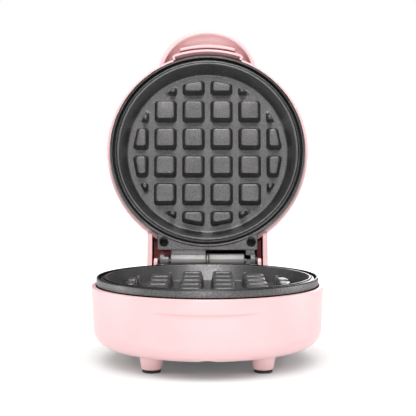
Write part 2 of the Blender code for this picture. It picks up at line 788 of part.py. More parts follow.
def hinge_cover(obj):
    """The box behind the lid that reaches past the hinge axis, open towards the plates."""
    rear = PIVOT + EXT_REAR
    front = PIVOT - 19.5
    outline = [
        (20, EXT_TOP),
        (20, 8),
        (front, 8),
        (front, SEAM),
        (front + 3.5, 0),
        (rear, 0),
        (rear, EXT_TOP),
    ]

    def outside(a, b):
        high = min(a.z, b.z) > EXT_TOP - 1 and max(a.y, b.y) > 40
        upright = min(a.y, b.y) > rear - 1 and abs(a.x - b.x) < 1
        return high or upright

    centre = (BODY_R - LID_CORNER, LID_DEPTH - LID_CORNER)
    dome = [
        (0, LID_DEPTH - 0.9),
        *arc(centre, LID_CORNER - 0.9, 90, 0, 6),
        (BODY_R - 0.9, -5),
        (0, -5),
    ]
    tool = helper(prism(outline, "x", -EXT_X, EXT_X), obj)
    round_edges(tool, outside)
    boolean(tool, spin(helper(profile(dome), obj)), "DIFFERENCE")
    boolean(obj, tool, "UNION")

    inside = EXT_X - EXT_WALL
    far = rear - 2.5
    cut_trimmed(
        obj,
        box((-inside, 30, SEAM - 1), (inside, far, EXT_TOP - WALL)),
        helper(rod(BODY_R + 0.3, (0, 0, -5), (0, 0, 60), SIDES), obj),
    )
    cut(
        obj,
        box((-inside, 30, -1), (inside, far, SEAM + 0.1)),
        box((-inside, far - 2, -1), (inside, rear + 1, 2.0)),
        box((-11, 50, SEAM + 4), (11, 68, EXT_TOP - WALL - 2)),
    )


def ring_block(inner, outer, half_x, low, high):
    """A piece of a ring in front of the disc, half_x wide to each side."""
    reach = [math.degrees(math.asin(half_x / r)) for r in (outer, inner)]
    outside = arc((0, 0), outer, -90 - reach[0], -90 + reach[0], 10)
    inside = arc((0, 0), inner, -90 + reach[1], -90 - reach[1], 10)
    return prism([*outside, *inside], "z", low, high)


def handle(obj):
    """The half-oval grip, hollow underneath, with two steps where it meets the lid."""
    outline = superellipse(HANDLE_A, HANDLE_B, -HANDLE_Y, HANDLE_POWER, SIDES)
    tool = helper(prism(outline, "z", HANDLE_LOW, HANDLE_TOP), obj)
    round_edges(tool, lambda a, b: min(a.z, b.z) > HANDLE_TOP - 0.1)
    boolean(tool, helper(rod(BODY_R - 1.2, (0, 0, -5), (0, 0, 60), SIDES), obj), "DIFFERENCE")
    boolean(obj, tool, "UNION")

    half_x, half_y = HANDLE_A - HANDLE_WALL, HANDLE_B - HANDLE_WALL
    hollow = superellipse(half_x, half_y, -HANDLE_Y, HANDLE_POWER, SIDES)
    drum = helper(rod(BODY_R + 0.3, (0, 0, -5), (0, 0, 60), SIDES), obj)
    cut_trimmed(obj, prism(hollow, "z", HANDLE_LOW - 3, HANDLE_TOP - HANDLE_WALL), drum)
    floor = HANDLE_TOP - HANDLE_WALL + 0.5
    join(
        obj,
        ring_block(BODY_R - 1.0, 67.9, 23.2, HANDLE_LOW + 0.35, floor),
        ring_block(69.3, 71.3, 18.0, HANDLE_LOW + 1.6, floor),
    )
    cut(obj, ring_block(BODY_R - 3.5, 66.0, 21.3, SEAM - 2, 8.0))


def lid_fittings(parent, looks):
    """The indicator lamp behind its lens, and the lead from the hinge."""
    y = -PIVOT - LAMP_Y
    window = rod(2.3, (0, y, 28.0), (0, y, LID_DEPTH + 0.4), FINE)
    lens = part("indicator_lens", window, looks["lens"], parent)
    join(lens, rod(4.0, (0, y, 27.2), (0, y, LID_DEPTH - WALL - 0.3), FINE))
    holder = part("lamp_holder", rod(4.6, (0, y, 22.4), (0, y, 26.9), FINE), looks["nylon"], parent)
    cut(holder, rod(2.1, (0, y, 23.6), (0, y, 30)))
    bulb = rod(1.7, (0, y, 23.9), (0, y, 26.7), SMALL, 1.1)
    part("indicator_lamp", bulb, looks["lamp"], parent)
    lead = [(0, 3, 15), (0, -7, 19), (0, -17, 22.6), (-4, -30, 24.8), (-7.3, -40.5, 25.0)]
    tube("lid_lead", smoothed(lead), LEAD_R, looks["lead"], parent)


def looks():
    return {
        "shell": material("pink_plastic", (0.93, 0.66, 0.68), 0.32),
        "coating": material("nonstick_coating", (0.12, 0.115, 0.115), 0.5, 0.2),
        "screw": material("black_screw", (0.015, 0.015, 0.015), 0.4, 0.6),
        "pin": material("dark_steel", (0.16, 0.16, 0.16), 0.35, 0.9),
        "zinc": material("zinc_plate", (0.6, 0.6, 0.58), 0.35, 0.9),
        "steel": material("sheet_steel", (0.5, 0.5, 0.5), 0.35, 0.9),
        "reflector": material("reflector", (0.72, 0.72, 0.72), 0.25, 0.9),
        "element": material("element_sheath", (0.3, 0.29, 0.28), 0.4, 0.8),
        "brass": material("brass", (0.6, 0.48, 0.25), 0.35, 0.9),
        "rubber": material("rubber", (0.03, 0.03, 0.032), 0.7),
        "nylon": material("nylon", (0.75, 0.74, 0.7), 0.5),
        "lens": material("lens", (0.75, 0.18, 0.08), 0.2),
        "lamp": material("lamp_glass", (0.85, 0.8, 0.75), 0.15),
        "lead": material("lead_insulation", (0.8, 0.8, 0.78), 0.5),
    }


def main():
    made = looks()
    assembly = empty("assembly", None, (0, ORIGIN_Y, 0))
    axis = empty("hinge_axis", assembly, (0, PIVOT, RIM_Z + RIM_GAP))
    lid = empty("lid_pivot", axis, (0, 0, 0), (math.radians(-OPEN_DEG), 0, 0))
    upper = empty("upper_side", lid, (0, 0, 0), (0, math.pi, 0))

    base_housing(assembly, made["shell"])
    foot_pads(assembly, made["rubber"])
    base_fittings(assembly, made)
    hinge_pin_set(axis, made)
    lid_housing(lid, made["shell"])
    lid_fittings(lid, made)
    for side, parent in (("lower", axis), ("upper", upper)):
        plate(side, parent, made["coating"])
        heater(side, parent, made)
        hinge_screws(side, parent, made["screw"])


clear_scene()
PARTS = new_collection("waffle_maker")
CUTTERS = new_collection("cutters")
main()
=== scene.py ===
"""Looks for the open waffle maker. Shapes are made in millimetres and scaled when each is finished."""

import math

import bmesh
import bpy
from mathutils import Matrix, Vector


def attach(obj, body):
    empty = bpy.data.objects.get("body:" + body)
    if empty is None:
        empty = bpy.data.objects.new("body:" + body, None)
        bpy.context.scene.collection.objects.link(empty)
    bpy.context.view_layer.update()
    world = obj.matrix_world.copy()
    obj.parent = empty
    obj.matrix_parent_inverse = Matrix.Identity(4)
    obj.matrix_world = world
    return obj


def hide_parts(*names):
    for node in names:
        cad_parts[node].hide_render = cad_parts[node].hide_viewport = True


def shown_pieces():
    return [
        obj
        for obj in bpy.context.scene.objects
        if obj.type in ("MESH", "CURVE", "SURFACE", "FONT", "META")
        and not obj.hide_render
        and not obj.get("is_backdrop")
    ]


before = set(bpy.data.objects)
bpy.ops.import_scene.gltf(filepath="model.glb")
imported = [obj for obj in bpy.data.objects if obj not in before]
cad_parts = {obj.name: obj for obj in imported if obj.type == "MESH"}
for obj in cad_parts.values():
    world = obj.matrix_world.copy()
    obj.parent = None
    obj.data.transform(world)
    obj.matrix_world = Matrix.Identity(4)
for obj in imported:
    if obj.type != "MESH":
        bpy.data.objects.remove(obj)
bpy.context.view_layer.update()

MM = 0.001

# The CAD's driving dimensions, in millimetres
PLATE_R = {"lower": 61.5, "upper": 62.2}
BODY_R = 64.3
PIVOT = 71.0
RIM_Z = 47.0
RIM_GAP = 0.15
OPEN_DEG = 102.0
SEAM = 4.8
BASE_Z = 9.0
LID_DEPTH = 31.0
LID_CORNER = 14.0
WALL = 2.4
ORIGIN_Y = -31.6
FLOOR = 9.3
BACK = 12.0
PITCH = 18.0
STUD_BASE = 6.8
STUD_TAPER = 1.4
STUD_H = 6.4
STUD_CIRCLE = 47.2
FLANGE_X = 31.4
FLANGE_TOP = 0.55
FLANGE_BACK = 4.35
FLANGE_END = 7.2
BARREL_R = 4.8
BARREL_X = (0.9, 22.9)
EAR_X = (-29.8, -23.8)
BORE_R = 2.35
HINGE_SCREW = (27.4, 12.3)
BOSS_Y = 46.0
BOSS_END = 18.0
TOWER_X = 33.2
TOWER_REAR = PIVOT - 0.6
CHEEK_X = 31.0
CHEEK_TOP = 2.4
EXT_X = 37.6
EXT_WALL = 2.95
EXT_REAR = 10.5
EXT_TOP = 26.0
DUCT_X = 11.0  # half width of the openings for leads
HANDLE_A = 31.7
HANDLE_B = 29.0
HANDLE_Y = 51.5
HANDLE_POWER = 2.05
HANDLE_LOW = 5.2
HANDLE_TOP = 13.6
HANDLE_WALL = 2.2
STEP_R = 66.2  # outer side of the hollow before the first step
STEP_X = 21.3
STEP_COVE = 2.0
LEDGE_R = 67.9
LEDGE_X = 23.2
RIDGE_R = (69.3, 71.3)
RIDGE_X = 18.0
LENS_Y = -27.0
FEET = {
    "front_left": (-29.4, -35.0),
    "front_right": (29.4, -35.0),
    "rear_left": (-25.0, 60.0),
    "rear_right": (25.0, 60.0),
}
FOOT_R = 6.6
FOOT_END_R = 5.5
PAD_H = 1.3
GLAND_Z = 22.0

ROUND = 160  # sides of the widest round shapes
FINE = 48
SMALL = 28
WELD = 0.004  # points closer than this are joined in a finished piece

# Studio
CAMERA_AT = (0.0003, -0.6217, 0.1173)
CAMERA_DROP = 0.0556  # radians that it looks below level
CAMERA_LENS = 92.13
LIGHT_AIM = (0, 0, 0.09)
AMBIENT = 0.1
FLOOR_LIGHTS = (
    ("overhead", 0, 0, 5.0, 80, True),
    ("ahead", 62, 0, 1.8, 70, True),
    ("from_left", 0, -66, 3.0, 50, True),
    ("from_right", 0, 66, 3.0, 50, True),
    ("fill", 0, 0, 0.36, 5, False),
)
LIGHTS = (
    ("front", (0.0, -0.85, 0.10), 0.5, 2.6),
    ("high", (0.0, -0.64, 1.05), 0.5, 9.3),
    ("above", (0.0, 0.15, 0.95), 0.4, 4.4),
    ("left", (-0.9, 0.05, 0.15), 0.5, 3.3),
    ("right", (0.9, 0.05, 0.15), 0.5, 3.3),
    ("behind", (0.25, 0.95, 0.4), 0.5, 5.6),
)

BASE = Matrix.Translation((0, ORIGIN_Y, 0))
HINGE = BASE @ Matrix.Translation((0, PIVOT, RIM_Z + RIM_GAP))
LID_HINGE = HINGE @ Matrix.Rotation(math.radians(-OPEN_DEG), 4, "X")
FORWARD = Matrix.Translation((0, -PIVOT, 0))
UPPER_HINGE = LID_HINGE @ Matrix.Rotation(math.pi, 4, "Y")


# Outlines


def arc(centre, radius, start_deg, end_deg, steps):
    angles = [math.radians(start_deg + (end_deg - start_deg) * i / steps) for i in range(steps + 1)]
    return [(centre[0] + radius * math.cos(a), centre[1] + radius * math.sin(a)) for a in angles]


def filleted(points, steps=6):
    """A line of (r, z) or (r, z, radius) points, with each corner that has a radius rounded."""
    made = []
    for i, point in enumerate(points):
        here = Vector(point[:2])
        radius = point[2] if len(point) > 2 else 0.0
        if not radius or i in (0, len(points) - 1):
            made.append(here)
            continue
        before = (Vector(points[i - 1][:2]) - here).normalized()
        after = (Vector(points[i + 1][:2]) - here).normalized()
        half = before.angle(after) / 2
        reach = radius / math.tan(half)
        centre = here + (before + after).normalized() * (radius / math.sin(half))
        start = here + before * reach - centre
        end = here + after * reach - centre
        for k in range(steps + 1):
            way = start.slerp(end, k / steps)
            made.append(centre + way.normalized() * radius)
    return [(p.x, p.y) for p in made]


def inset(polygon, distance):
    """A convex polygon, counter-clockwise, with every side moved inwards."""
    count = len(polygon)
    lines = []
    for a, b in zip(polygon, polygon[1:] + polygon[:1]):
        along = (b - a).normalized()
        inward = Vector((-along.y, along.x))
        lines.append((a + inward * distance, along))
    moved = []
    for i in range(count):
        p, d = lines[i - 1]
        q, e = lines[i]
        t = (q - p).cross(e) / d.cross(e)
        moved.append(p + d * t)
    return moved


def rounded_polygon(polygon, distance, radius, steps=5):
    """The polygon moved inwards by distance, with corners of that radius."""
    core = inset(polygon, distance + radius)
    count = len(polygon)
    made = []
    for i, corner in enumerate(core):
        normals = []
        for a, b in ((polygon[i - 1], polygon[i]), (polygon[i], polygon[(i + 1) % count])):
            along = (b - a).normalized()
            normals.append(Vector((along.y, -along.x)))
        for k in range(steps + 1):
            made.append(corner + normals[0].slerp(normals[1], k / steps) * radius)
    return made


def superellipse(a, b, centre_y, power, count):
    points = []
    for i in range(count):
        angle = 2 * math.pi * i / count
        c, s = math.cos(angle), math.sin(angle)
        x = a * math.copysign(abs(c) ** (2 / power), c)
        y = b * math.copysign(abs(s) ** (2 / power), s)
        points.append(Vector((x, centre_y + y)))
    return points


# Meshes


def finished(bm):
    bmesh.ops.remove_doubles(bm, verts=bm.verts, dist=1e-5)
    bmesh.ops.recalc_face_normals(bm, faces=bm.faces)
    if bm.calc_volume(signed=True) < 0:
        bmesh.ops.reverse_faces(bm, faces=bm.faces)
    mesh = bpy.data.meshes.new("shape")
    bm.to_mesh(mesh)
    bm.free()
    return mesh


def bridge(bm, loops, wrap=False):
    pairs = list(zip(loops, loops[1:] + loops[:1])) if wrap else list(zip(loops, loops[1:]))
    for a, b in pairs:
        if len(a) == 1 and len(b) == 1:
            continue
        count = max(len(a), len(b))
        for i in range(count):
            j = (i + 1) % count
            if len(a) == 1:
                bm.faces.new((a[0], b[j], b[i]))
            elif len(b) == 1:
                bm.faces.new((a[i], a[j], b[0]))
            else:
                bm.faces.new((a[i], a[j], b[j], b[i]))


def turned(points, steps=ROUND, closed=False):
    """A shape turned round the Z axis from a line of (radius, height) points."""
    bm = bmesh.new()
    loops = []
    for r, z in points:
        if r < 1e-6:
            loops.append([bm.verts.new((0, 0, z))])
            continue
        turns = [2 * math.pi * i / steps for i in range(steps)]
        loops.append([bm.verts.new((r * math.cos(t), r * math.sin(t), z)) for t in turns])
    bridge(bm, loops, closed)
    return finished(bm)


def lofted(rings):
    """A closed body through rings of points, with a flat face on the first and the last."""
    bm = bmesh.new()
    loops = [[bm.verts.new(p) for p in ring] for ring in rings]
    bridge(bm, loops)
    bm.faces.new(loops[0])
    bm.faces.new(loops[-1])
    return finished(bm)


def merged(meshes):
    """Several closed bodies that don't touch, as one mesh."""
    bm = bmesh.new()
    for mesh in meshes:
        bm.from_mesh(mesh)
    return finished(bm)


def placed(mesh, matrix):
    mesh.transform(matrix)
    return mesh


def lathe(start, end, profile, sides=SMALL):
    """A turned shape along the line from start to end: profile holds (distance from start, radius)."""
    start, end = Vector(start), Vector(end)
    turn = Vector((0, 0, 1)).rotation_difference(end - start).to_matrix().to_4x4()
    points = [(0, profile[0][0]), *[(r, z) for z, r in profile], (0, profile[-1][0])]
    return placed(turned(points, sides), Matrix.Translation(start) @ turn)


def rod(radius, start, end, sides=SMALL, end_radius=None, edge=0.0):
    """A cylinder or cone between two points, with its rims rounded by edge."""
    length = (Vector(end) - Vector(start)).length
    last = radius if end_radius is None else end_radius
    if not edge:
        return lathe(start, end, [(0, radius), (length, last)], sides)
    low = [(edge * (1 - math.sin(a)), radius - edge * (1 - math.cos(a))) for a in quarter()[::-1]]
    high = [(length - edge * (1 - math.sin(a)), last - edge * (1 - math.cos(a))) for a in quarter()]
    return lathe(start, end, low + high, sides)


def quarter(steps=4):
    return [math.pi / 2 * i / steps for i in range(steps + 1)]


def slab(outline, low, high, edge_low=0.0, edge_high=0.0, corner=0.0):
    """A convex outline pushed along Z, its corners and its two rims rounded."""
    rings = []
    if edge_low:
        for a in quarter()[::-1]:
            rings.append((low + edge_low * (1 - math.sin(a)), edge_low * (1 - math.cos(a))))
    else:
        rings.append((low, 0.0))
    if edge_high:
        for a in quarter():
            rings.append((high - edge_high * (1 - math.sin(a)), edge_high * (1 - math.cos(a))))
    else:
        rings.append((high, 0.0))
    return lofted(
        [
            [(p.x, p.y, z) for p in rounded_polygon(outline, d, max(corner - d, 0.05))]
            for z, d in rings
        ]
    )


def box(low, high, edge_low=0.0, edge_high=0.0, corner=0.0):
    x0, y0, z0 = low
    x1, y1, z1 = high
    if not (edge_low or edge_high or corner):
        bm = bmesh.new()
        bmesh.ops.create_cube(bm, size=1.0)
        bmesh.ops.scale(bm, vec=(x1 - x0, y1 - y0, z1 - z0), verts=bm.verts)
        bmesh.ops.translate(bm, vec=((x0 + x1) / 2, (y0 + y1) / 2, (z0 + z1) / 2), verts=bm.verts)
        return finished(bm)
    outline = [Vector(p) for p in ((x0, y0), (x1, y0), (x1, y1), (x0, y1))]
    return slab(outline, z0, z1, edge_low, edge_high, corner)


def prism(outline, axis, low, high, chooser=None, radius=0.0, segments=6):
    """A flat outline pushed along z, or one of (y, z) points pushed along x. chooser picks edges to round."""
    bm = bmesh.new()
    if axis == "z":
        corners = [(p[0], p[1], low) for p in outline]
        push = Vector((0, 0, high - low))
    else:
        corners = [(low, p[0], p[1]) for p in outline]
        push = Vector((high - low, 0, 0))
    face = bm.faces.new([bm.verts.new(c) for c in corners])
    made = bmesh.ops.extrude_face_region(bm, geom=[face])["geom"]
    bmesh.ops.translate(bm, vec=push, verts=[v for v in made if isinstance(v, bmesh.types.BMVert)])
    bmesh.ops.recalc_face_normals(bm, faces=bm.faces)
    if chooser:
        edges = [e for e in bm.edges if chooser(e.verts[0].co, e.verts[1].co)]
        bmesh.ops.bevel(bm, geom=edges, offset=radius, segments=segments, profile=0.5, affect="EDGES")
    return finished(bm)


def combined(mesh, *steps):
    """The mesh after each ("UNION" or "DIFFERENCE", other mesh) step."""
    body = bpy.data.objects.new("body", mesh)
    bpy.context.scene.collection.objects.link(body)
    tools = []
    for operation, other in steps:
        tool = bpy.data.objects.new("tool", other)
        bpy.context.scene.collection.objects.link(tool)
        tools.append(tool)
        modifier = body.modifiers.new("step", "BOOLEAN")
        modifier.operation = operation
        modifier.solver = "MANIFOLD"
        modifier.object = tool
    bpy.context.view_layer.update()
    graph = bpy.context.evaluated_depsgraph_get()
    result = bpy.data.meshes.new_from_object(body.evaluated_get(graph))
    for obj in [body, *tools]:
        bpy.data.objects.remove(obj)
    return result


def add(mesh):
    return ("UNION", mesh)


def take(mesh):
    return ("DIFFERENCE", mesh)


def piece(name, mesh, body, slot, smooth_deg=32, painted_shade=None, recess=None):
    """Puts a finished mesh, already in the row frame, in place of the CAD node of that name.

    The mark function gives a 0 to 1 amount of painted shade from a face's corners, and recess is a duller
    shaded copy of the material for the faces with a high mark.
    """
    bm = bmesh.new()
    bm.from_mesh(mesh)
    bmesh.ops.remove_doubles(bm, verts=bm.verts, dist=WELD)
    bmesh.ops.dissolve_degenerate(bm, dist=WELD / 2, edges=bm.edges)
    if painted_shade:
        mark = bm.faces.layers.float.new("painted_shade")
        for face in bm.faces:
            face[mark] = painted_shade([vert.co for vert in face.verts])
    bmesh.ops.scale(bm, vec=(MM, MM, MM), verts=bm.verts)
    bm.to_mesh(mesh)
    bm.free()
    mesh.name = name
    mesh.materials.clear()
    mesh.materials.append(LOOKS[slot])
    # Faces with more than a little painted shade take the duller shaded copy of the material.
    if recess:
        mesh.materials.append(recess)
        for face, value in zip(mesh.polygons, mesh.attributes["painted_shade"].data):
            face.material_index = int(value.value > 0.2)
    mesh.shade_smooth()
    mesh.set_sharp_from_angle(angle=math.radians(smooth_deg))
    obj = bpy.data.objects.new(name, mesh)
    bpy.context.scene.collection.objects.link(obj)
    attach(obj, body)
    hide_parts(name)


# Materials


class Look:
    """A node material that is built up step by step."""

    def __init__(self, name):
        self.material = bpy.data.materials.new(name)
        self.material.use_nodes = True
        self.tree = self.material.node_tree
        self.shader = self.tree.nodes["Principled BSDF"]
        self.where = self.node("ShaderNodeTexCoord").outputs["Object"]
        self.normal = None

    def node(self, kind, **values):
        made = self.tree.nodes.new(kind)
        for key, value in values.items():
            setattr(made, key, value)
        return made

    def join(self, output, socket):
        self.tree.links.new(output, socket)

    def set(self, **values):
        for key, value in values.items():
            self.shader.inputs[key.replace("_", " ")].default_value = value
        return self

    def noise(self, scale, detail=3.0, roughness=0.55, distortion=0.0, stretch=None):
        made = self.node("ShaderNodeTexNoise")
        made.inputs["Scale"].default_value = scale
        made.inputs["Detail"].default_value = detail
        made.inputs["Roughness"].default_value = roughness
        made.inputs["Distortion"].default_value = distortion
        place = self.where
        if stretch:
            mapping = self.node("ShaderNodeMapping")
            mapping.inputs["Scale"].default_value = stretch
            self.join(place, mapping.inputs["Vector"])
            place = mapping.outputs["Vector"]
        self.join(place, made.inputs["Vector"])
        return made.outputs["Fac"]

    def cells(self, scale, feature="F1"):
        made = self.node("ShaderNodeTexVoronoi", feature=feature)
        made.inputs["Scale"].default_value = scale
        self.join(self.where, made.inputs["Vector"])
        return made.outputs["Distance"]

    def ramp(self, source, stops):
        """A colour ramp through (position, colour) stops."""
        made = self.node("ShaderNodeValToRGB")
        band = made.color_ramp
        while len(band.elements) < len(stops):
            band.elements.new(0.5)
        for element, (position, colour) in zip(band.elements, stops):
            element.position = position
            element.color = (*colour, 1.0)
        self.join(source, made.inputs["Fac"])
        return made.outputs["Color"]

    def mix(self, factor, first, second, blend="MIX"):
        made = self.node("ShaderNodeMix", data_type="RGBA", blend_type=blend)
        for value, socket in ((factor, 0), (first, 6), (second, 7)):
            if isinstance(value, bpy.types.NodeSocket):
                self.join(value, made.inputs[socket])
            elif socket:
                made.inputs[socket].default_value = (*value, 1.0)
            else:
                made.inputs[socket].default_value = value
        return made.outputs[2]

    def spread(self, source, low, high, start=0.3, end=0.7):
        """The source's start to end turned into low to high."""
        made = self.node("ShaderNodeMapRange")
        made.inputs["From Min"].default_value = start
        made.inputs["From Max"].default_value = end
        made.inputs["To Min"].default_value = low
        made.inputs["To Max"].default_value = high
        self.join(source, made.inputs["Value"])
        return made.outputs["Result"]

    def mark(self, name):
        """What the mesh's faces hold under that name, or 0."""
        return self.node("ShaderNodeAttribute", attribute_name=name).outputs["Fac"]

    def near_hinge(self):
        """1 on the hinge barrels, 0 away from them: the mask of the barrels' painted light."""
        apart = self.node("ShaderNodeVectorMath", operation="SUBTRACT")
        apart.inputs[1].default_value = HINGE.translation * MM
        self.join(self.where, apart.inputs[0])
        across = self.node("ShaderNodeVectorMath", operation="MULTIPLY")
        across.inputs[1].default_value = (0, 1, 1)
        self.join(apart.outputs[0], across.inputs[0])
        away = self.node("ShaderNodeVectorMath", operation="LENGTH")
        self.join(across.outputs[0], away.inputs[0])
        along = self.node("ShaderNodeSeparateXYZ")
        self.join(self.where, along.inputs[0])
        span = self.node("ShaderNodeMath", operation="ABSOLUTE")
        self.join(along.outputs["X"], span.inputs[0])
        both = self.node("ShaderNodeMath", operation="MULTIPLY")
        fade_out, fade_along = (6.0 * MM, 6.4 * MM), (23.2 * MM, 23.4 * MM)
        self.join(self.spread(away.outputs["Value"], 1.0, 0.0, *fade_out), both.inputs[0])
        self.join(self.spread(span.outputs[0], 1.0, 0.0, *fade_along), both.inputs[1])
        return both.outputs[0]

    def bump(self, source, height_mm, strength=1.0):
        made = self.node("ShaderNodeBump")
        made.inputs["Strength"].default_value = strength
        made.inputs["Distance"].default_value = height_mm * MM
        self.join(source, made.inputs["Height"])
        if self.normal:
            self.join(self.normal, made.inputs["Normal"])
        self.normal = made.outputs["Normal"]
        self.join(self.normal, self.shader.inputs["Normal"])
        return self

    def paint(self, colour=None, roughness=None):
        if colour:
            self.join(colour, self.shader.inputs["Base Color"])
        if roughness:
            self.join(roughness, self.shader.inputs["Roughness"])
        return self


def shaped_plastic(name, low, high, gloss=(0.28, 0.36), grain=0.01, scale=2200.0):
    """Moulded plastic: faint mottling, and a fine grain that breaks up its shine."""
    look = Look(name)
    tone = look.noise(38.0, 2.0)
    colour = look.ramp(tone, [(0.3, low), (0.7, high)])
    fine = look.noise(scale, 2.0, 0.6)
    look.paint(colour, look.spread(look.noise(160.0, 3.0), *gloss))
    look.bump(fine, grain)
    look.bump(look.noise(60.0, 2.0), 0.03, 0.35)
    return look


def plastic(*values):
    return shaped_plastic(*values).material


def shell_plastic(name, specular, coat):
    """Satin pink plastic with painted shade: a deeper pink where ambient occlusion finds it tucked away,
    painted maroon in the marked hollows, and painted near black between the ends of the deepest, with a
    painted lit red at those ends.
    """
    # Colours of painted shade, and for the ends of the deepest hollow a painted lit red.
    occlusion_shade, maroon = (0.52, 0.22, 0.235), (0.2, 0.038, 0.048)
    lit_end, black = (0.85, 0.26, 0.27), (0.006, 0.002, 0.002)
    left_end, right_end = (-23.2 * MM, -22.4 * MM), (31.5 * MM, 32.5 * MM)
    look = shaped_plastic(name, (0.785, 0.508, 0.516), (0.825, 0.543, 0.551))
    colour = look.shader.inputs["Base Color"].links[0].from_socket
    # Ambient occlusion paints a deeper pink shade into corners and gaps.
    hidden = look.node("ShaderNodeAmbientOcclusion", samples=8)
    hidden.inputs["Distance"].default_value = 6.0 * MM
    depth = look.spread(hidden.outputs["AO"], 1.0, 0.0, 0.08, 0.42)
    colour = look.mix(depth, colour, occlusion_shade)
    # The painted shade mark turns the pink maroon, then near black between the ends and a painted lit red
    # beyond them.
    painted_shade = look.mark("painted_shade")
    place = look.node("ShaderNodeSeparateXYZ")
    look.join(look.where, place.inputs[0])
    ends = look.node("ShaderNodeMath", operation="MAXIMUM")
    look.join(look.spread(place.outputs["X"], 1.0, 0.0, *left_end), ends.inputs[0])
    look.join(look.spread(place.outputs["X"], 0.0, 1.0, *right_end), ends.inputs[1])
    deepest = look.mix(ends.outputs[0], black, lit_end)
    colour = look.mix(look.spread(painted_shade, 0.0, 1.0, 0.0, 0.5), colour, maroon)
    colour = look.mix(look.spread(painted_shade, 0.0, 1.0, 0.5, 1.0), colour, deepest)
    gloss = look.shader.inputs["Roughness"].links[0].from_socket
    dull = look.node("ShaderNodeMath", operation="MAXIMUM")
    look.join(gloss, dull.inputs[0])
    look.join(look.spread(painted_shade, 0.2, 0.9, 0.0, 0.4), dull.inputs[1])
    look.paint(colour, dull.outputs[0])
    look.set(Subsurface_Weight=0.06, Subsurface_Radius=(0.004, 0.0015, 0.0015), Subsurface_Scale=0.4)
    look.set(Specular_IOR_Level=specular, Coat_Weight=coat, Coat_Roughness=0.22)
    return look.material


def nonstick(name, low, high, metallic, gloss):
    """Cast aluminium under a speckled non-stick coating with a sandy grain, painted paler on the barrels
    where they catch the light, and painted near black where faces are marked for shade.
    """
    look = Look(name)
    sand = look.noise(1500.0, 3.0, 0.7)
    blotch = look.noise(90.0, 3.0)
    colour = look.ramp(blotch, [(0.3, low), (0.7, high)])
    # Painted light: the hinge barrels are paler and less grainy, as where they catch the light.
    barrel_light = look.near_hinge()
    colour = look.mix(barrel_light, colour, (0.2, 0.194, 0.193))
    grains = look.ramp(sand, [(0.36, (0.7, 0.7, 0.7)), (0.5, (1.0, 1.0, 1.0)), (0.64, (1.42, 1.4, 1.4))])
    grains = look.mix(barrel_light, grains, (1.0, 0.995, 0.99))
    colour = look.mix(1.0, colour, grains, "MULTIPLY")
    glint = look.ramp(look.cells(1900.0), [(0.05, (0.30, 0.29, 0.29)), (0.22, (0.0, 0.0, 0.0))])
    colour = look.mix(0.2, colour, glint, "ADD")
    # Painted shade: the marked grooves, slot and outer lip go near black.
    colour = look.mix(look.mark("painted_shade"), colour, (0.004, 0.004, 0.004))
    look.paint(colour, look.spread(sand, gloss[1], gloss[0], 0.35, 0.65))
    look.set(Metallic=metallic)
    look.bump(sand, 0.03, 0.6)
    look.bump(look.noise(420.0, 2.0), 0.03, 0.4)
    return look.material


def metal(name, low, high, gloss, brushed=None, grain=0.008, metallic=1.0):
    """Bare or plated metal, its grain drawn out along one way where it was rolled or turned."""
    look = Look(name)
    lines = look.noise(700.0, 3.0, 0.6, 0.0, brushed)
    stain = look.noise(55.0, 3.0)
    base = look.ramp(stain, [(0.3, low), (0.7, high)])
    shade = look.ramp(lines, [(0.3, (0.86, 0.86, 0.86)), (0.7, (1.06, 1.06, 1.06))])
    look.paint(look.mix(1.0, base, shade, "MULTIPLY"), look.spread(lines, *gloss))
    look.set(Metallic=metallic)
    look.bump(lines, grain)
    return look.material


def black_screw(name):
    look = metal(name, (0.002, 0.002, 0.002), (0.004, 0.004, 0.004), (0.3, 0.4), None, 0.01, 0.0)
    look.node_tree.nodes["Principled BSDF"].inputs["Specular IOR Level"].default_value = 0.1
    return look


def rubber(name):
    look = Look(name)
    colour = look.ramp(look.noise(400.0, 3.0), [(0.3, (0.017, 0.016, 0.017)), (0.7, (0.030, 0.029, 0.030))])
    look.paint(colour, look.spread(look.noise(900.0), 0.6, 0.8))
    look.bump(look.noise(1600.0, 3.0), 0.03)
    return look.material


def glass(name, colour, transmission, gloss=(0.04, 0.1)):
    look = Look(name)
    tint = look.ramp(look.noise(120.0), [(0.3, colour), (0.7, tuple(min(1.0, c * 1.08) for c in colour))])
    look.paint(tint, look.spread(look.noise(300.0), *gloss))
    look.set(Transmission_Weight=transmission, IOR=1.47)
    look.bump(look.noise(90.0), 0.02, 0.4)
    return look.material


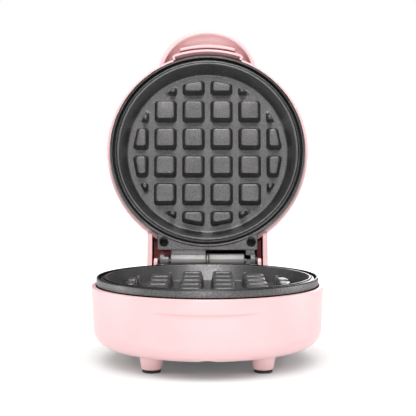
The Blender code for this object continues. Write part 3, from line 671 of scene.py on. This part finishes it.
def make_looks():
    white = (0.72, 0.71, 0.67)
    paler = tuple(c * 1.05 for c in white)
    recipes = {
        "shell_plastic": (shell_plastic, 0.5, 0.12),
        # A copy of the shell plastic with little shine, for faces deep in painted shade.
        "shell_recess": (shell_plastic, 0.08, 0.0),
        "nonstick_casting": (nonstick, (0.119, 0.116, 0.117), (0.141, 0.138, 0.139), 0.9, (0.4, 0.52)),
        "black_screw": (black_screw,),
        "pin_steel": (metal, (0.05, 0.05, 0.05), (0.08, 0.08, 0.08), (0.35, 0.5), (0.08, 1, 1)),
        "zinc_screw": (metal, (0.55, 0.55, 0.53), (0.66, 0.65, 0.62), (0.22, 0.38)),
        "sheet_steel": (metal, (0.50, 0.50, 0.50), (0.60, 0.60, 0.59), (0.24, 0.4), (0.06, 1, 1)),
        "reflector_sheet": (metal, (0.72, 0.72, 0.73), (0.80, 0.80, 0.80), (0.12, 0.26), (0.05, 1, 1)),
        "element_sheath": (metal, (0.20, 0.17, 0.14), (0.34, 0.31, 0.29), (0.3, 0.5)),
        "brass_washer": (metal, (0.17, 0.155, 0.115), (0.22, 0.2, 0.155), (0.4, 0.55)),
        "foot_rubber": (rubber,),
        "nylon": (plastic, white, paler, (0.42, 0.55), 0.015, 1200.0),
        "lead_insulation": (plastic, (0.74, 0.73, 0.70), (0.8, 0.79, 0.76), (0.4, 0.5)),
        "indicator_lens": (glass, (0.75, 0.10, 0.04), 0.55),
        "lamp_glass": (glass, (0.95, 0.90, 0.84), 0.85),
    }
    return {name: make(name, *values) for name, (make, *values) in recipes.items()}


# Castings


def cropped(square, radius):
    """A square's corners, without the part that lies outside a straight line across the circle."""
    centre = sum(square, Vector((0, 0))) / 4
    out = centre.normalized()
    kept = []
    for a, b in zip(square, square[1:] + square[:1]):
        over_a, over_b = a.dot(out) - radius, b.dot(out) - radius
        if over_a <= 0:
            kept.append(a)
        if over_a * over_b < 0:
            kept.append(a + (b - a) * over_a / (over_a - over_b))
    return kept


def stud(x, y):
    """One tapering stud: flared where it leaves the floor, rounded at its corners and round its top."""
    small = abs(x * y) > (1.5 * PITCH) ** 2
    taper = STUD_TAPER * (0.5 if small else 1.0)
    corner = 1.0 if small else 2.1
    edge = 0.5 if small else 0.75
    square = [Vector((x + STUD_BASE * i, y + STUD_BASE * j)) for i, j in ((-1, -1), (1, -1), (1, 1), (-1, 1))]
    if max(abs(x), abs(y)) > 2 * PITCH:
        square = cropped(square, STUD_CIRCLE)
    top = FLOOR - STUD_H
    rings = [(FLOOR + 0.35, -0.85), (FLOOR - 0.05, -0.45), (FLOOR - 0.4, -0.15), (FLOOR - 0.95, 0.07)]
    rings = [(depth, shift + taper * 0.03) for depth, shift in rings]
    at_edge = taper * (STUD_H - edge) / STUD_H
    for a in quarter(5):
        rings.append((top + edge * (1 - math.sin(a)), at_edge + edge * (1 - math.cos(a))))
    made = []
    for depth, shift in rings:
        z = -RIM_GAP - depth
        ring = rounded_polygon(square, shift, max(corner - max(shift, 0) * 0.3, 0.3))
        made.append([(p.x, p.y, z) for p in ring])
    return lofted(made)


def all_studs():
    places = [PITCH * (i - 2.5) for i in range(6)]
    made = []
    for x in places:
        for y in places:
            if math.hypot(abs(x) - STUD_BASE, abs(y) - STUD_BASE) < STUD_CIRCLE - 1:
                made.append(stud(x, y))
    return merged(made)


def disc(radius):
    """Floor, sloping wall, sealing ridge, groove, outer lip and back, as one turned shape."""
    section = [
        (0, FLOOR),
        (51.6, FLOOR, 1.6),
        (56.2, 0.5, 0.35),
        (56.5, 0.2, 0.2),
        (57.4, 0.2, 0.15),
        (57.4, 1.4, 0.15),
        (57.9, 1.4, 0.15),
        (57.9, 0.6, 0.12),
        (59.1, 1.1, 0.2),
        (59.1, 2.8, 0.2),
        (60.3, 2.8, 0.2),
        (60.3, 0.0, 0.3),
        (radius, 0.0, 0.7 * (radius - 60.3)),
        (radius, SEAM - 0.45, 0.2),
        (60.4, SEAM - 0.45, 0.2),
        (60.4, 7.6, 0.4),
        (57.4, 7.6, 0.6),
        (55.0, BACK, 1.0),
        (0, BACK),
    ]
    flat = [(p[0], -RIM_GAP - p[1], *p[2:]) for p in section]
    return turned(filleted(flat, 5), ROUND)


def casting(side, matrix, body):
    name = f"{side}_plate"
    radius = PLATE_R[side]
    top = -RIM_GAP - FLANGE_TOP
    back = -RIM_GAP - FLANGE_BACK
    keep_out = rod(radius - 0.8, (0, 0, -20), (0, 0, 20), ROUND)
    flange = box((-FLANGE_X, 40, back), (FLANGE_X, PIVOT - FLANGE_END, top), 0.3, 0.45, 0.8)
    flange = combined(flange, take(keep_out))
    steps = [add(flange)]
    for x0, x1 in (BARREL_X, EAR_X):
        web_low = (x0 + 0.2, PIVOT - FLANGE_END - 1.5, back + 0.1)
        web_high = (x1 - 0.2, PIVOT - 2.5, top - 0.3)
        steps += [
            add(box(web_low, web_high, 0.2, 0.3, 0.3)),
            add(rod(BARREL_R, (x0, PIVOT, 0), (x1, PIVOT, 0), FINE, edge=0.45)),
        ]
    steps += [
        add(rod(4.5, (0, 0, -BACK + 0.5), (0, 0, -18.1 - RIM_GAP + 0.5), FINE, edge=0.3)),
        add(rod(4.0, (0, -BOSS_Y, -BACK + 0.5), (0, -BOSS_Y, -BOSS_END), FINE, edge=0.3)),
        add(all_studs()),
        take(rod(BORE_R, (EAR_X[0] - 1, PIVOT, 0), (BARREL_X[1] + 1, PIVOT, 0))),
    ]
    ear_step = EAR_X[1] - 3.3
    steps += [
        take(box((ear_step, PIVOT - 6, 3.6), (EAR_X[1] + 1, PIVOT + 6, 8))),
        take(box((ear_step + 0.4, PIVOT - 3.6, -6), (EAR_X[1] + 1, PIVOT - 0.9, 8))),
        take(rod(1.6, (0, 0, -BACK + 0.5), (0, 0, -19.1))),
        take(rod(1.6, (0, -BOSS_Y, -BACK + 0.5), (0, -BOSS_Y, -BOSS_END - 1))),
    ]
    well = [(0, 2.95), (1.7, 2.95), (2.0, 3.25), (4.0, 5.2)]
    for sign in (-1, 1):
        x, y = sign * HINGE_SCREW[0], PIVOT - HINGE_SCREW[1]
        steps += [
            take(lathe((x, y, top - 2.0), (x, y, 3), well, FINE)),
            take(rod(1.6, (x, y, -9), (x, y, 3))),
        ]
    mesh = placed(combined(disc(radius), *steps), matrix @ FORWARD)
    flat = (matrix @ FORWARD).inverted()
    grooves = ((58.95, 60.45), (57.35, 57.95))

    def shaded(corners):
        """Painted shade: darkest in the grooves and in the ear's slot, and part way on the outer lip."""
        places = [flat @ p for p in corners]
        reach = [math.hypot(p.x, p.y) for p in places]
        for low, high in grooves:
            if low < min(reach) and max(reach) < high:
                return 0.9
        if min(reach) > 60.25 and all(p.z > -1.3 and p.y < PIVOT - 24 for p in places):
            return 0.6 if all(p.y < -30 for p in places) else 0.3
        in_slot = all(EAR_X[0] + 3 < p.x < EAR_X[1] + 0.05 and 67.35 < p.y < 70.15 for p in places)
        return 0.95 if in_slot else 0.0

    piece(name, mesh, body, "nonstick_casting", 28, painted_shade=shaded)


# Screws, pads and the hinge pin


def cross_screw(head_at, point_at, head_r, head_h, shank_r, dome=0.25):
    """A cross-head screw: slightly domed head, tapering recess, shank with rolled threads."""
    head, point = Vector(head_at), Vector(point_at)
    length = (point - head).length
    way = (point - head).normalized()
    profile = [(0.0, head_r * 0.45), (dome * 0.4, head_r * 0.8), (dome, head_r)]
    profile += [(head_h, head_r), (head_h, shank_r)]
    turns = int((length - head_h - 1.2) / 0.8)
    for i in range(turns):
        z = head_h + 0.5 + 0.8 * i
        profile += [(z, shank_r * 0.82), (z + 0.4, shank_r)]
    profile += [(length - 0.6, shank_r * 0.8), (length, shank_r * 0.25)]
    mesh = lathe(head, point, profile, SMALL)
    turn = Vector((0, 0, 1)).rotation_difference(way).to_matrix().to_4x4()
    place = Matrix.Translation(head) @ turn
    cuts = []
    for angle in (0, math.pi / 2):
        reach, wide, deep = head_r * 0.62, head_r * 0.17, head_h * 0.62
        blade = lofted(
            [
                [(reach, -wide, -0.5), (reach, wide, -0.5), (-reach, wide, -0.5), (-reach, -wide, -0.5)],
                [
                    (reach * 0.5, -wide * 0.7, deep),
                    (reach * 0.5, wide * 0.7, deep),
                    (-reach * 0.5, wide * 0.7, deep),
                    (-reach * 0.5, -wide * 0.7, deep),
                ],
            ]
        )
        cuts.append(take(placed(blade, place @ Matrix.Rotation(angle + 0.5, 4, "Z"))))
    return combined(mesh, *cuts)


def hinge_screws(side, matrix, body):
    head = -RIM_GAP - FLANGE_TOP - 0.6
    for word, sign in (("left", -1), ("right", 1)):
        x, y = sign * HINGE_SCREW[0], -HINGE_SCREW[1]
        if side == "upper":
            word = "right" if word == "left" else "left"
        mesh = cross_screw((x, y, head), (x, y, head - 11.5), 2.6, 1.15, 1.2)
        name = f"{side}_hinge_screw_{word}"
        piece(name, placed(mesh, matrix), body, "black_screw")


def hinge_pin_set():
    end = 30.7
    shank = [(0.0, 1.5), (0.25, 1.9), (0.35, 2.0), (60.55, 2.0)]
    shank += [(60.65, 2.9), (60.85, 3.1), (61.2, 3.1), (61.4, 2.8)]
    groove = turned([(1.75, 0.25), (6.0, 0.25), (6.0, 0.65), (1.75, 0.65)], FINE, True)
    groove = placed(groove, Matrix.Translation((-end, 0, 0)) @ Matrix.Rotation(math.pi / 2, 4, "Y"))
    pin = combined(lathe((-end, 0, 0), (end, 0, 0), shank, FINE), take(groove))
    piece("hinge_pin", placed(pin, HINGE), "base", "pin_steel")

    clip = combined(
        rod(3.3, (-30.4, 0, 0), (-30.1, 0, 0), FINE, edge=0.08),
        take(rod(1.95, (-32, 0, 0), (-28, 0, 0), FINE)),
        take(box((-32, -1.0, -8), (-28, 1.0, 0))),
    )
    piece("hinge_clip", placed(clip, HINGE), "base", "pin_steel")

    washer = combined(
        rod(4.4, (-0.6, 0, 0), (0.6, 0, 0), FINE, edge=0.2),
        take(rod(2.3, (-3, 0, 0), (3, 0, 0), FINE)),
    )
    piece("hinge_washer", placed(washer, HINGE), "base", "brass_washer")


def foot_pads():
    for place, (x, y) in FEET.items():
        profile = [(0.0, 4.3), (0.1, 4.7), (0.4, 4.9), (PAD_H, 4.9), (PAD_H, 2.0), (5.6, 2.0), (6.0, 1.6)]
        tread = turned([(2.2, -1), (3.0, -1), (3.0, 0.35), (2.2, 0.35)], FINE, True)
        pad = combined(
            lathe((x, y, 0), (x, y, 6), profile, FINE),
            take(placed(tread, Matrix.Translation((x, y, 0)))),
        )
        name = f"foot_pad_{place}"
        piece(name, placed(pad, BASE), "base", "foot_rubber")


def cord_gland():
    y = TOWER_REAR
    profile = [(0.0, 4.4), (0.3, 4.7), (2.3, 4.7), (2.3, 5.9), (2.6, 6.2), (3.9, 6.2), (4.2, 5.9)]
    profile += [(4.2, 4.7), (7.3, 4.7), (7.3, 6.4), (7.6, 6.6), (8.2, 6.3), (8.7, 5.8), (8.9, 5.2)]
    gland = lathe((0, y - 7, GLAND_Z), (0, y + 1.9, GLAND_Z), profile, FINE)
    gland = combined(gland, take(rod(3.3, (0, y - 12, GLAND_Z), (0, y + 6, GLAND_Z), FINE)))
    piece("cord_gland", placed(gland, BASE), "base", "foot_rubber")


def front_screw():
    mesh = cross_screw((0, -BOSS_Y, 15.6), (0, -BOSS_Y, 34.0), 2.8, 2.1, 1.3)
    piece("base_front_screw", placed(mesh, BASE), "base", "zinc_screw")


# Base housing


def base_housing():
    top = RIM_Z - SEAM
    corner = 10.0
    low_r = BODY_R - 1.0
    centre = (low_r - corner, BASE_Z + corner)
    section = [
        (0, BASE_Z + WALL),
        *arc(centre, corner - WALL, -90, 0, 10),
        (BODY_R - WALL, top - 0.4),
        (BODY_R - WALL + 0.4, top),
        *arc((BODY_R - 0.8, top - 0.8), 0.8, 90, 0, 6),
        *arc(centre, corner, 0, -90, 16),
        (0, BASE_Z),
    ]
    bowl = turned([(0, 90), (BODY_R - 1.2, 90), *arc(centre, corner - 1.2, 0, -90, 12), (0, BASE_Z + 1.2)])
    tower = prism(
        [(-TOWER_X, 30), (TOWER_X, 30), (TOWER_X, TOWER_REAR), (-TOWER_X, TOWER_REAR)],
        "z",
        BASE_Z + 0.4,
        top - 0.3,
        lambda a, b: min(a.y, b.y) > TOWER_REAR - 1 and abs(a.x - b.x) < 1,
        radius=6.0,
        segments=10,
    )
    steps = [add(combined(tower, take(bowl)))]
    for sign in (-1, 1):
        x0, x1 = sorted((sign * CHEEK_X, sign * TOWER_X))
        y0, y1 = PIVOT - 6.6, TOWER_REAR
        r = (y1 - y0) / 2
        hub = ((y0 + y1) / 2, RIM_Z + RIM_GAP + CHEEK_TOP - r)
        outline = [(y1, 34), *arc(hub, r, 0, 180, 16), (y0, 34)]
        cheek = prism(outline, "x", x0, x1, lambda a, b: abs(a.x - b.x) < 0.1 and min(a.z, b.z) > 38, 0.5, 4)
        steps.append(add(cheek))
    steps.append(take(box((-CHEEK_X, BODY_R - 0.9, top - 1.0), (CHEEK_X, 90, 70))))
    drum = rod(BODY_R + 0.3, (0, 0, -5), (0, 0, 90), ROUND)
    half, front, rear = TOWER_X - WALL, PIVOT - HINGE_SCREW[1], TOWER_REAR - WALL
    inner = prism(
        [(-half, front), (half, front), (half, rear), (-half, rear)],
        "z",
        BASE_Z + WALL,
        top - 1.0 - WALL,
        lambda a, b: min(a.y, b.y) > rear - 1 and abs(a.x - b.x) < 1,
        radius=4.0,
        segments=8,
    )
    steps += [
        take(combined(inner, take(drum))),
        take(box((-DUCT_X, 52, BASE_Z + 4), (DUCT_X, TOWER_REAR - WALL - 1, BASE_Z + 24))),
    ]
    for sign in (-1, 1):
        x, y = sign * HINGE_SCREW[0], PIVOT - HINGE_SCREW[1]
        steps += [
            add(rod(3.8, (x, y, BASE_Z + 1), (x, y, top - 0.1))),
            take(rod(1.5, (x, y, top - 14), (x, y, top + 5))),
            add(rod(3.0, (sign * 9, 53, BASE_Z + 1), (sign * 9, 53, BASE_Z + 8))),
            take(rod(1.3, (sign * 9, 53, BASE_Z + 3), (sign * 9, 53, BASE_Z + 12))),
        ]
    steps.append(add(rod(4.4, (0, -BOSS_Y, BASE_Z + 1), (0, -BOSS_Y, RIM_Z - BOSS_END - 0.3), FINE)))
    for x, y in FEET.values():
        steps += [add(foot(x, y)), take(rod(2.3, (x, y, -1), (x, y, 6.6)))]
    steps += [
        take(rod(3.2, (0, -BOSS_Y, -1), (0, -BOSS_Y, 18), FINE)),
        take(rod(1.7, (0, -BOSS_Y, 10), (0, -BOSS_Y, 40), FINE)),
        take(rod(5.0, (0, TOWER_REAR - 6, GLAND_Z), (0, TOWER_REAR + 6, GLAND_Z), FINE)),
        take(rod(12.3, (0, -80, BASE_Z - 11.0), (0, -50, BASE_Z - 11.0), 96)),
    ]
    for i in range(5):
        x = 8.0 * (i - 2)
        vent = box((x - 1.5, -14, BASE_Z - 2), (x + 1.5, 14, BASE_Z + 6), 0, 0, 1.45)
        steps.append(take(vent))
    steps.append(take(finger_scoop()))
    mesh = combined(turned(section), *steps)
    piece("base_housing", placed(mesh, BASE), "base", "shell_plastic", 24)


def foot(x, y):
    """A tapering foot that flares gently into the underside and has a soft bottom rim."""
    height = BASE_Z + 1.5 - PAD_H - 0.3
    slope = (FOOT_R + 0.2 - FOOT_END_R) / height
    rim = 0.7
    profile = [(rim * (1 - math.sin(a)), FOOT_END_R - rim * (1 - math.cos(a))) for a in quarter()[::-1]]
    profile.append((height - 3.2, FOOT_END_R + slope * (height - 3.2)))
    for rise, flare in ((2.4, 0.05), (1.9, 0.2), (1.5, 0.45), (1.1, 0.9)):
        profile.append((height - rise, FOOT_END_R + slope * (height - rise) + flare))
    return lathe((x, y, PAD_H + 0.3), (x, y, BASE_Z + 1.5), profile, FINE)


def finger_scoop():
    """A shallow hollow in the front, deepest along its top edge and running out below."""
    high, low = RIM_Z - 12.2, 17.0
    deep = 1.2
    front = BODY_R - 0.3
    half = 29.5
    bend = 1 / (1 / front - 2 * deep / half**2)
    centre_y = bend - front + deep
    body = rod(bend + deep, (0, centre_y, low - 5), (0, centre_y, high + 0.5), 360, bend)
    block = prism([(-40, -80), (40, -80), (40, -40), (-40, -40)], "z", low, high)
    return combined(block, take(body))


# Lid housing, in the coordinates that it has when closed


def lid_housing():
    centre = (BODY_R - LID_CORNER, LID_DEPTH - LID_CORNER)
    section = [
        (0, LID_DEPTH),
        *arc(centre, LID_CORNER, 90, 0, 20),
        *arc((BODY_R - 0.8, SEAM + 0.8), 0.8, 0, -90, 6),
        (BODY_R - WALL + 0.4, SEAM),
        (BODY_R - WALL, SEAM + 0.4),
        *arc(centre, LID_CORNER - WALL, 0, 90, 12),
        (0, LID_DEPTH - WALL),
    ]
    steps = [*hinge_cover(), *handle()]
    for sign in (-1, 1):
        x, y = sign * HINGE_SCREW[0], PIVOT - HINGE_SCREW[1]
        steps += [
            add(rod(3.7, (x, y, FLANGE_BACK + 0.5), (x, y, EXT_TOP - 1.2))),
            take(rod(1.5, (x, y, 0), (x, y, 18))),
        ]
    steps += [
        add(rod(4.4, (0, -BOSS_Y, BOSS_END + 0.5), (0, -BOSS_Y, LID_DEPTH - 1))),
        add(rod(1.25, (0, -BOSS_Y, BACK + 2), (0, -BOSS_Y, LID_DEPTH - 1))),
        take(rod(2.6, (0, LENS_Y, 20), (0, LENS_Y, 40), FINE)),
    ]
    mesh = combined(turned(section), *steps)
    matrix = LID_HINGE @ FORWARD
    closed = matrix.inverted()
    inside = EXT_X - EXT_WALL
    room_end = PIVOT + EXT_REAR - 2.4
    between_bosses = 24.1

    def hidden(corners):
        """Painted shade: high inside the hinge cover, and rising from 0 into the hollow of the first step."""
        places = [closed @ p for p in corners]
        across = [abs(p.x) for p in places]
        reach = [math.hypot(p.x, p.y) for p in places]
        if max(across) < inside + 0.1 and all(
            40 < p.y < room_end and -1 < p.z < EXT_TOP - WALL + 0.1 for p in places
        ):
            if min(reach) > BODY_R:
                return 0.5 if min(across) > inside - 0.1 else 1.0
            if max(across) < DUCT_X + 0.1 and min(reach) > 50:
                return 1.0
            if max(across) < between_bosses and min(reach) > 62 and max(p.z for p in places) < 5:
                return 1.0
        if max(across) < LEDGE_X + 0.1 and all(p.y < -40 and 2.7 < p.z < 8.7 for p in places):
            if 59 < min(reach) and max(reach) < STEP_R + 0.1:
                return min(0.8, (STEP_R - sum(reach) / len(reach)) / 3.2)
            # A faint painted shade on the crest of the first step.
            if min(reach) > STEP_R - 0.1 and max(reach) < LEDGE_R + 0.1:
                return 0.06
        return 0.0

    mesh = placed(mesh, matrix)
    piece("lid_housing", mesh, "lid", "shell_plastic", 24, painted_shade=hidden, recess=LOOKS["shell_recess"])


def hinge_cover():
    rear = PIVOT + EXT_REAR
    front = PIVOT - 19.5
    outline = [(20, EXT_TOP), (20, 8), (front, 8), (front, SEAM), (front + 3.5, 0)]
    outline += [(rear, 0), (rear, EXT_TOP)]

    def soft(a, b):
        high = min(a.z, b.z) > EXT_TOP - 1 and max(a.y, b.y) > 40
        upright = min(a.y, b.y) > rear - 1 and abs(a.x - b.x) < 1
        return high or upright

    shell = prism(outline, "x", -EXT_X, EXT_X, soft, radius=3.0, segments=8)
    centre = (BODY_R - LID_CORNER, LID_DEPTH - LID_CORNER)
    sunk = 0.9
    crown = arc(centre, LID_CORNER - sunk, 90, 0, 20)
    dome = turned([(0, LID_DEPTH - sunk), *crown, (BODY_R - sunk, -5), (0, -5)])
    shell = combined(shell, take(dome))
    inside = EXT_X - EXT_WALL
    far = rear - 2.5
    room = box((-inside, 30, SEAM - 1), (inside, far, EXT_TOP - WALL))
    room = combined(room, take(rod(BODY_R + 0.3, (0, 0, -5), (0, 0, 60), ROUND)))
    return [
        add(shell),
        take(room),
        take(box((-inside, 30, -1), (inside, far, SEAM + 0.1))),
        take(box((-inside, far - 2, -1), (inside, rear + 1, 2.0))),
        take(box((-DUCT_X, 50, SEAM + 4), (DUCT_X, 68, EXT_TOP - WALL - 2))),
    ]


def arc_bar(inner, outer, half_x, low, high, edge, corner):
    """A raised bar that follows a circle in front of the disc, with soft ends and front edges."""
    middle = (inner + outer) / 2
    reach = math.asin(half_x / middle)
    ends = [(edge * (1 - math.sin(a)), edge * (1 - math.cos(a))) for a in quarter(5)[::-1]]
    ends += [(edge + (corner - edge) * i / 6, 0.0) for i in range(1, 7) if corner > edge]
    stations = [(along / middle - reach, along, shift) for along, shift in ends]
    stations += [(reach * (2 * i / 24 - 1), corner, 0.0) for i in range(2, 23)]
    stations += [(reach - along / middle, along, shift) for along, shift in ends[::-1]]
    rings = []
    for turn, along, shift in stations:
        dent = corner - math.sqrt(max(corner**2 - max(corner - along, 0) ** 2, 0))
        soft = max(edge - shift, 0.05)
        r0, r1, z0 = inner + shift, outer - shift - dent, low + shift
        section = [(r1, high), (r0, high)]
        section += arc((r0 + soft, z0 + soft), soft, 180, 270, 4)
        section += arc((r1 - soft, z0 + soft), soft, 270, 360, 4)
        rings.append(on_circle(section, turn))
    return lofted(rings)


def on_circle(section, turn):
    """A line of (radius, height) points, stood up at that angle from the middle of the front."""
    angle = -math.pi / 2 + turn
    return [(r * math.cos(angle), r * math.sin(angle), z) for r, z in section]


def step_hollow(half_x, low):
    """The hollow between the lip of the lid and the first step, with a coved outer side."""
    cove = arc((STEP_R - STEP_COVE, low), STEP_COVE, 90, 0, 6)
    section = [(60.0, 2.8), (60.0, low + STEP_COVE), *cove, (STEP_R, 2.8)]
    reach = math.asin(half_x / STEP_R)
    return lofted([on_circle(section, reach * (2 * i / 40 - 1)) for i in range(41)])


def handle():
    """The half-oval grip, hollow underneath, with two steps where it meets the lid."""
    count = 120
    lip, crown, root = 1.3, 3.0, 3.0
    inner_lip = 0.9
    side_wall = 0.7

    def ring(shift, z, thicker=0.0):
        half_x, half_y = HANDLE_A - shift - thicker, HANDLE_B - shift - 0.8 * thicker
        return [(p.x, p.y, z) for p in superellipse(half_x, half_y, -HANDLE_Y, HANDLE_POWER, count)]

    rings = []
    for a in quarter(8)[::-1]:
        rings.append(ring(crown * (1 - math.cos(a)), HANDLE_TOP - crown * (1 - math.sin(a))))
    for a in quarter(6):
        rings.append(ring(lip * (1 - math.cos(a)), HANDLE_LOW + lip * (1 - math.sin(a))))
    body = rod(BODY_R - 1.2, (0, 0, -5), (0, 0, 60), ROUND)
    solid = combined(lofted(rings), take(body))

    floor = HANDLE_TOP - HANDLE_WALL
    hollow = []
    for a in quarter(7)[::-1]:
        shift = HANDLE_WALL + root * (1 - math.cos(a))
        hollow.append(ring(shift, floor - root * (1 - math.sin(a)), side_wall))
    for a in quarter(5):
        shift = HANDLE_WALL - inner_lip * (1 - math.cos(a))
        hollow.append(ring(shift, HANDLE_LOW + inner_lip * (1 - math.sin(a)), side_wall))
    hollow.append(ring(HANDLE_WALL - inner_lip, HANDLE_LOW - 3, side_wall))
    drum = rod(BODY_R + 0.3, (0, 0, -5), (0, 0, 60), ROUND)
    hollow = combined(lofted(hollow), take(drum))
    step_low = HANDLE_LOW + 0.35
    return [
        add(solid),
        take(hollow),
        add(arc_bar(BODY_R - 1.0, LEDGE_R, LEDGE_X, step_low, floor + 0.5, 0.7, 3.0)),
        add(arc_bar(*RIDGE_R, RIDGE_X, HANDLE_LOW + 1.6, floor + 0.5, 0.5, 0.7)),
        take(step_hollow(STEP_X, step_low + 0.4)),
    ]


def indicator_lens():
    profile = [(0.0, 4.0), (1.1, 4.0), (1.1, 2.3), (3.6, 2.3), (3.9, 2.0), (4.1, 1.4), (4.2, 0.6)]
    mesh = lathe((0, LENS_Y, 27.2), (0, LENS_Y, LID_DEPTH + 0.4), profile, FINE)
    piece("indicator_lens", placed(mesh, LID_HINGE @ FORWARD), "lid", "indicator_lens")


# What stays as the CAD made it


def dress_frame_nodes():
    slots = {
        "element_sheath": ("lower_element", "upper_element"),
        "sheet_steel": ("lower_element_clamp", "upper_element_clamp", "fuse_clip"),
        "reflector_sheet": ("lower_reflector", "upper_reflector"),
        "zinc_screw": (
            "lower_clamp_screw",
            "upper_clamp_screw",
            "cord_clamp_screw_left",
            "cord_clamp_screw_right",
            "thermal_fuse",
        ),
        "nylon": ("thermostat", "terminal_block", "cord_clamp", "lamp_holder"),
        "lead_insulation": ("live_lead", "neutral_lead", "lid_lead"),
        "lamp_glass": ("indicator_lamp",),
    }
    for slot, names in slots.items():
        for name in names:
            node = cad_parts[name]
            node.data.materials.clear()
            node.data.materials.append(LOOKS[slot])


# Studio


def floor():
    bm = bmesh.new()
    bmesh.ops.create_grid(bm, x_segments=8, y_segments=8, size=12.0)
    mesh = bpy.data.meshes.new("floor")
    bm.to_mesh(mesh)
    bm.free()
    look = Look("floor_paper")
    look.set(Base_Color=(0.5, 0.5, 0.5, 1), Roughness=0.9, Specular_IOR_Level=0.1)
    mesh.materials.append(look.material)
    obj = bpy.data.objects.new("floor", mesh)
    bpy.context.scene.collection.objects.link(obj)
    obj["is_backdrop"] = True


def area(name, location, size, power, receivers):
    light = bpy.data.lights.new(name, "AREA")
    light.shape = "DISK"
    light.size = size
    light.energy = power
    obj = bpy.data.objects.new(name, light)
    obj.location = location
    aim = Vector(LIGHT_AIM) - Vector(location)
    obj.rotation_euler = aim.to_track_quat("-Z", "Y").to_euler()
    bpy.context.scene.collection.objects.link(obj)
    obj.light_linking.receiver_collection = receivers


def floor_light(name, tilt_x, tilt_y, energy, angle, shadow, receivers):
    """A soft light that only the floor takes, so that it is white round a contact shadow."""
    light = bpy.data.lights.new(name, "SUN")
    light.energy = energy
    light.angle = math.radians(angle)
    light.use_shadow = shadow
    if not shadow:
        light.color = (0.68, 1.0, 1.0)
    obj = bpy.data.objects.new(name, light)
    obj.rotation_euler = (math.radians(tilt_x), math.radians(tilt_y), 0)
    bpy.context.scene.collection.objects.link(obj)
    obj.light_linking.receiver_collection = receivers


def backdrop():
    """White behind the object, and a dimmer even light on it."""
    world = bpy.data.worlds.new("studio")
    bpy.context.scene.world = world
    world.use_nodes = True
    tree = world.node_tree
    seen = tree.nodes["Background"]
    seen.inputs["Color"].default_value = (1, 1, 1, 1)
    soft = tree.nodes.new("ShaderNodeBackground")
    soft.inputs["Color"].default_value = (1, 1, 1, 1)
    soft.inputs["Strength"].default_value = AMBIENT
    path = tree.nodes.new("ShaderNodeLightPath")
    mix = tree.nodes.new("ShaderNodeMixShader")
    tree.links.new(path.outputs["Is Camera Ray"], mix.inputs[0])
    tree.links.new(soft.outputs[0], mix.inputs[1])
    tree.links.new(seen.outputs[0], mix.inputs[2])
    tree.links.new(mix.outputs[0], tree.nodes["World Output"].inputs["Surface"])


def studio():
    backdrop()
    ground = collection("stage_receivers", [bpy.data.objects["floor"]])
    for settings in FLOOR_LIGHTS:
        floor_light(*settings, ground)
    lit = collection("object_receivers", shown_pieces())
    for name, location, size, power in LIGHTS:
        area(name, location, size, power, lit)


def collection(name, objects):
    made = bpy.data.collections.new(name)
    for obj in objects:
        made.objects.link(obj)
    return made


def camera():
    data = bpy.data.cameras.new("camera")
    data.sensor_width = 36.0
    data.lens = CAMERA_LENS
    data.clip_start = 0.01
    data.clip_end = 60.0
    obj = bpy.data.objects.new("camera", data)
    obj.location = CAMERA_AT
    obj.rotation_euler = (math.pi / 2 - CAMERA_DROP, 0, 0)
    bpy.context.scene.collection.objects.link(obj)
    bpy.context.scene.camera = obj


def main():
    casting("lower", HINGE, "base")
    casting("upper", UPPER_HINGE, "lid")
    hinge_screws("lower", HINGE, "base")
    hinge_screws("upper", UPPER_HINGE, "lid")
    hinge_pin_set()
    foot_pads()
    cord_gland()
    front_screw()
    base_housing()
    lid_housing()
    indicator_lens()
    dress_frame_nodes()
    floor()
    studio()
    camera()
    bpy.context.scene.view_settings.view_transform = "Standard"


LOOKS = make_looks()
main()
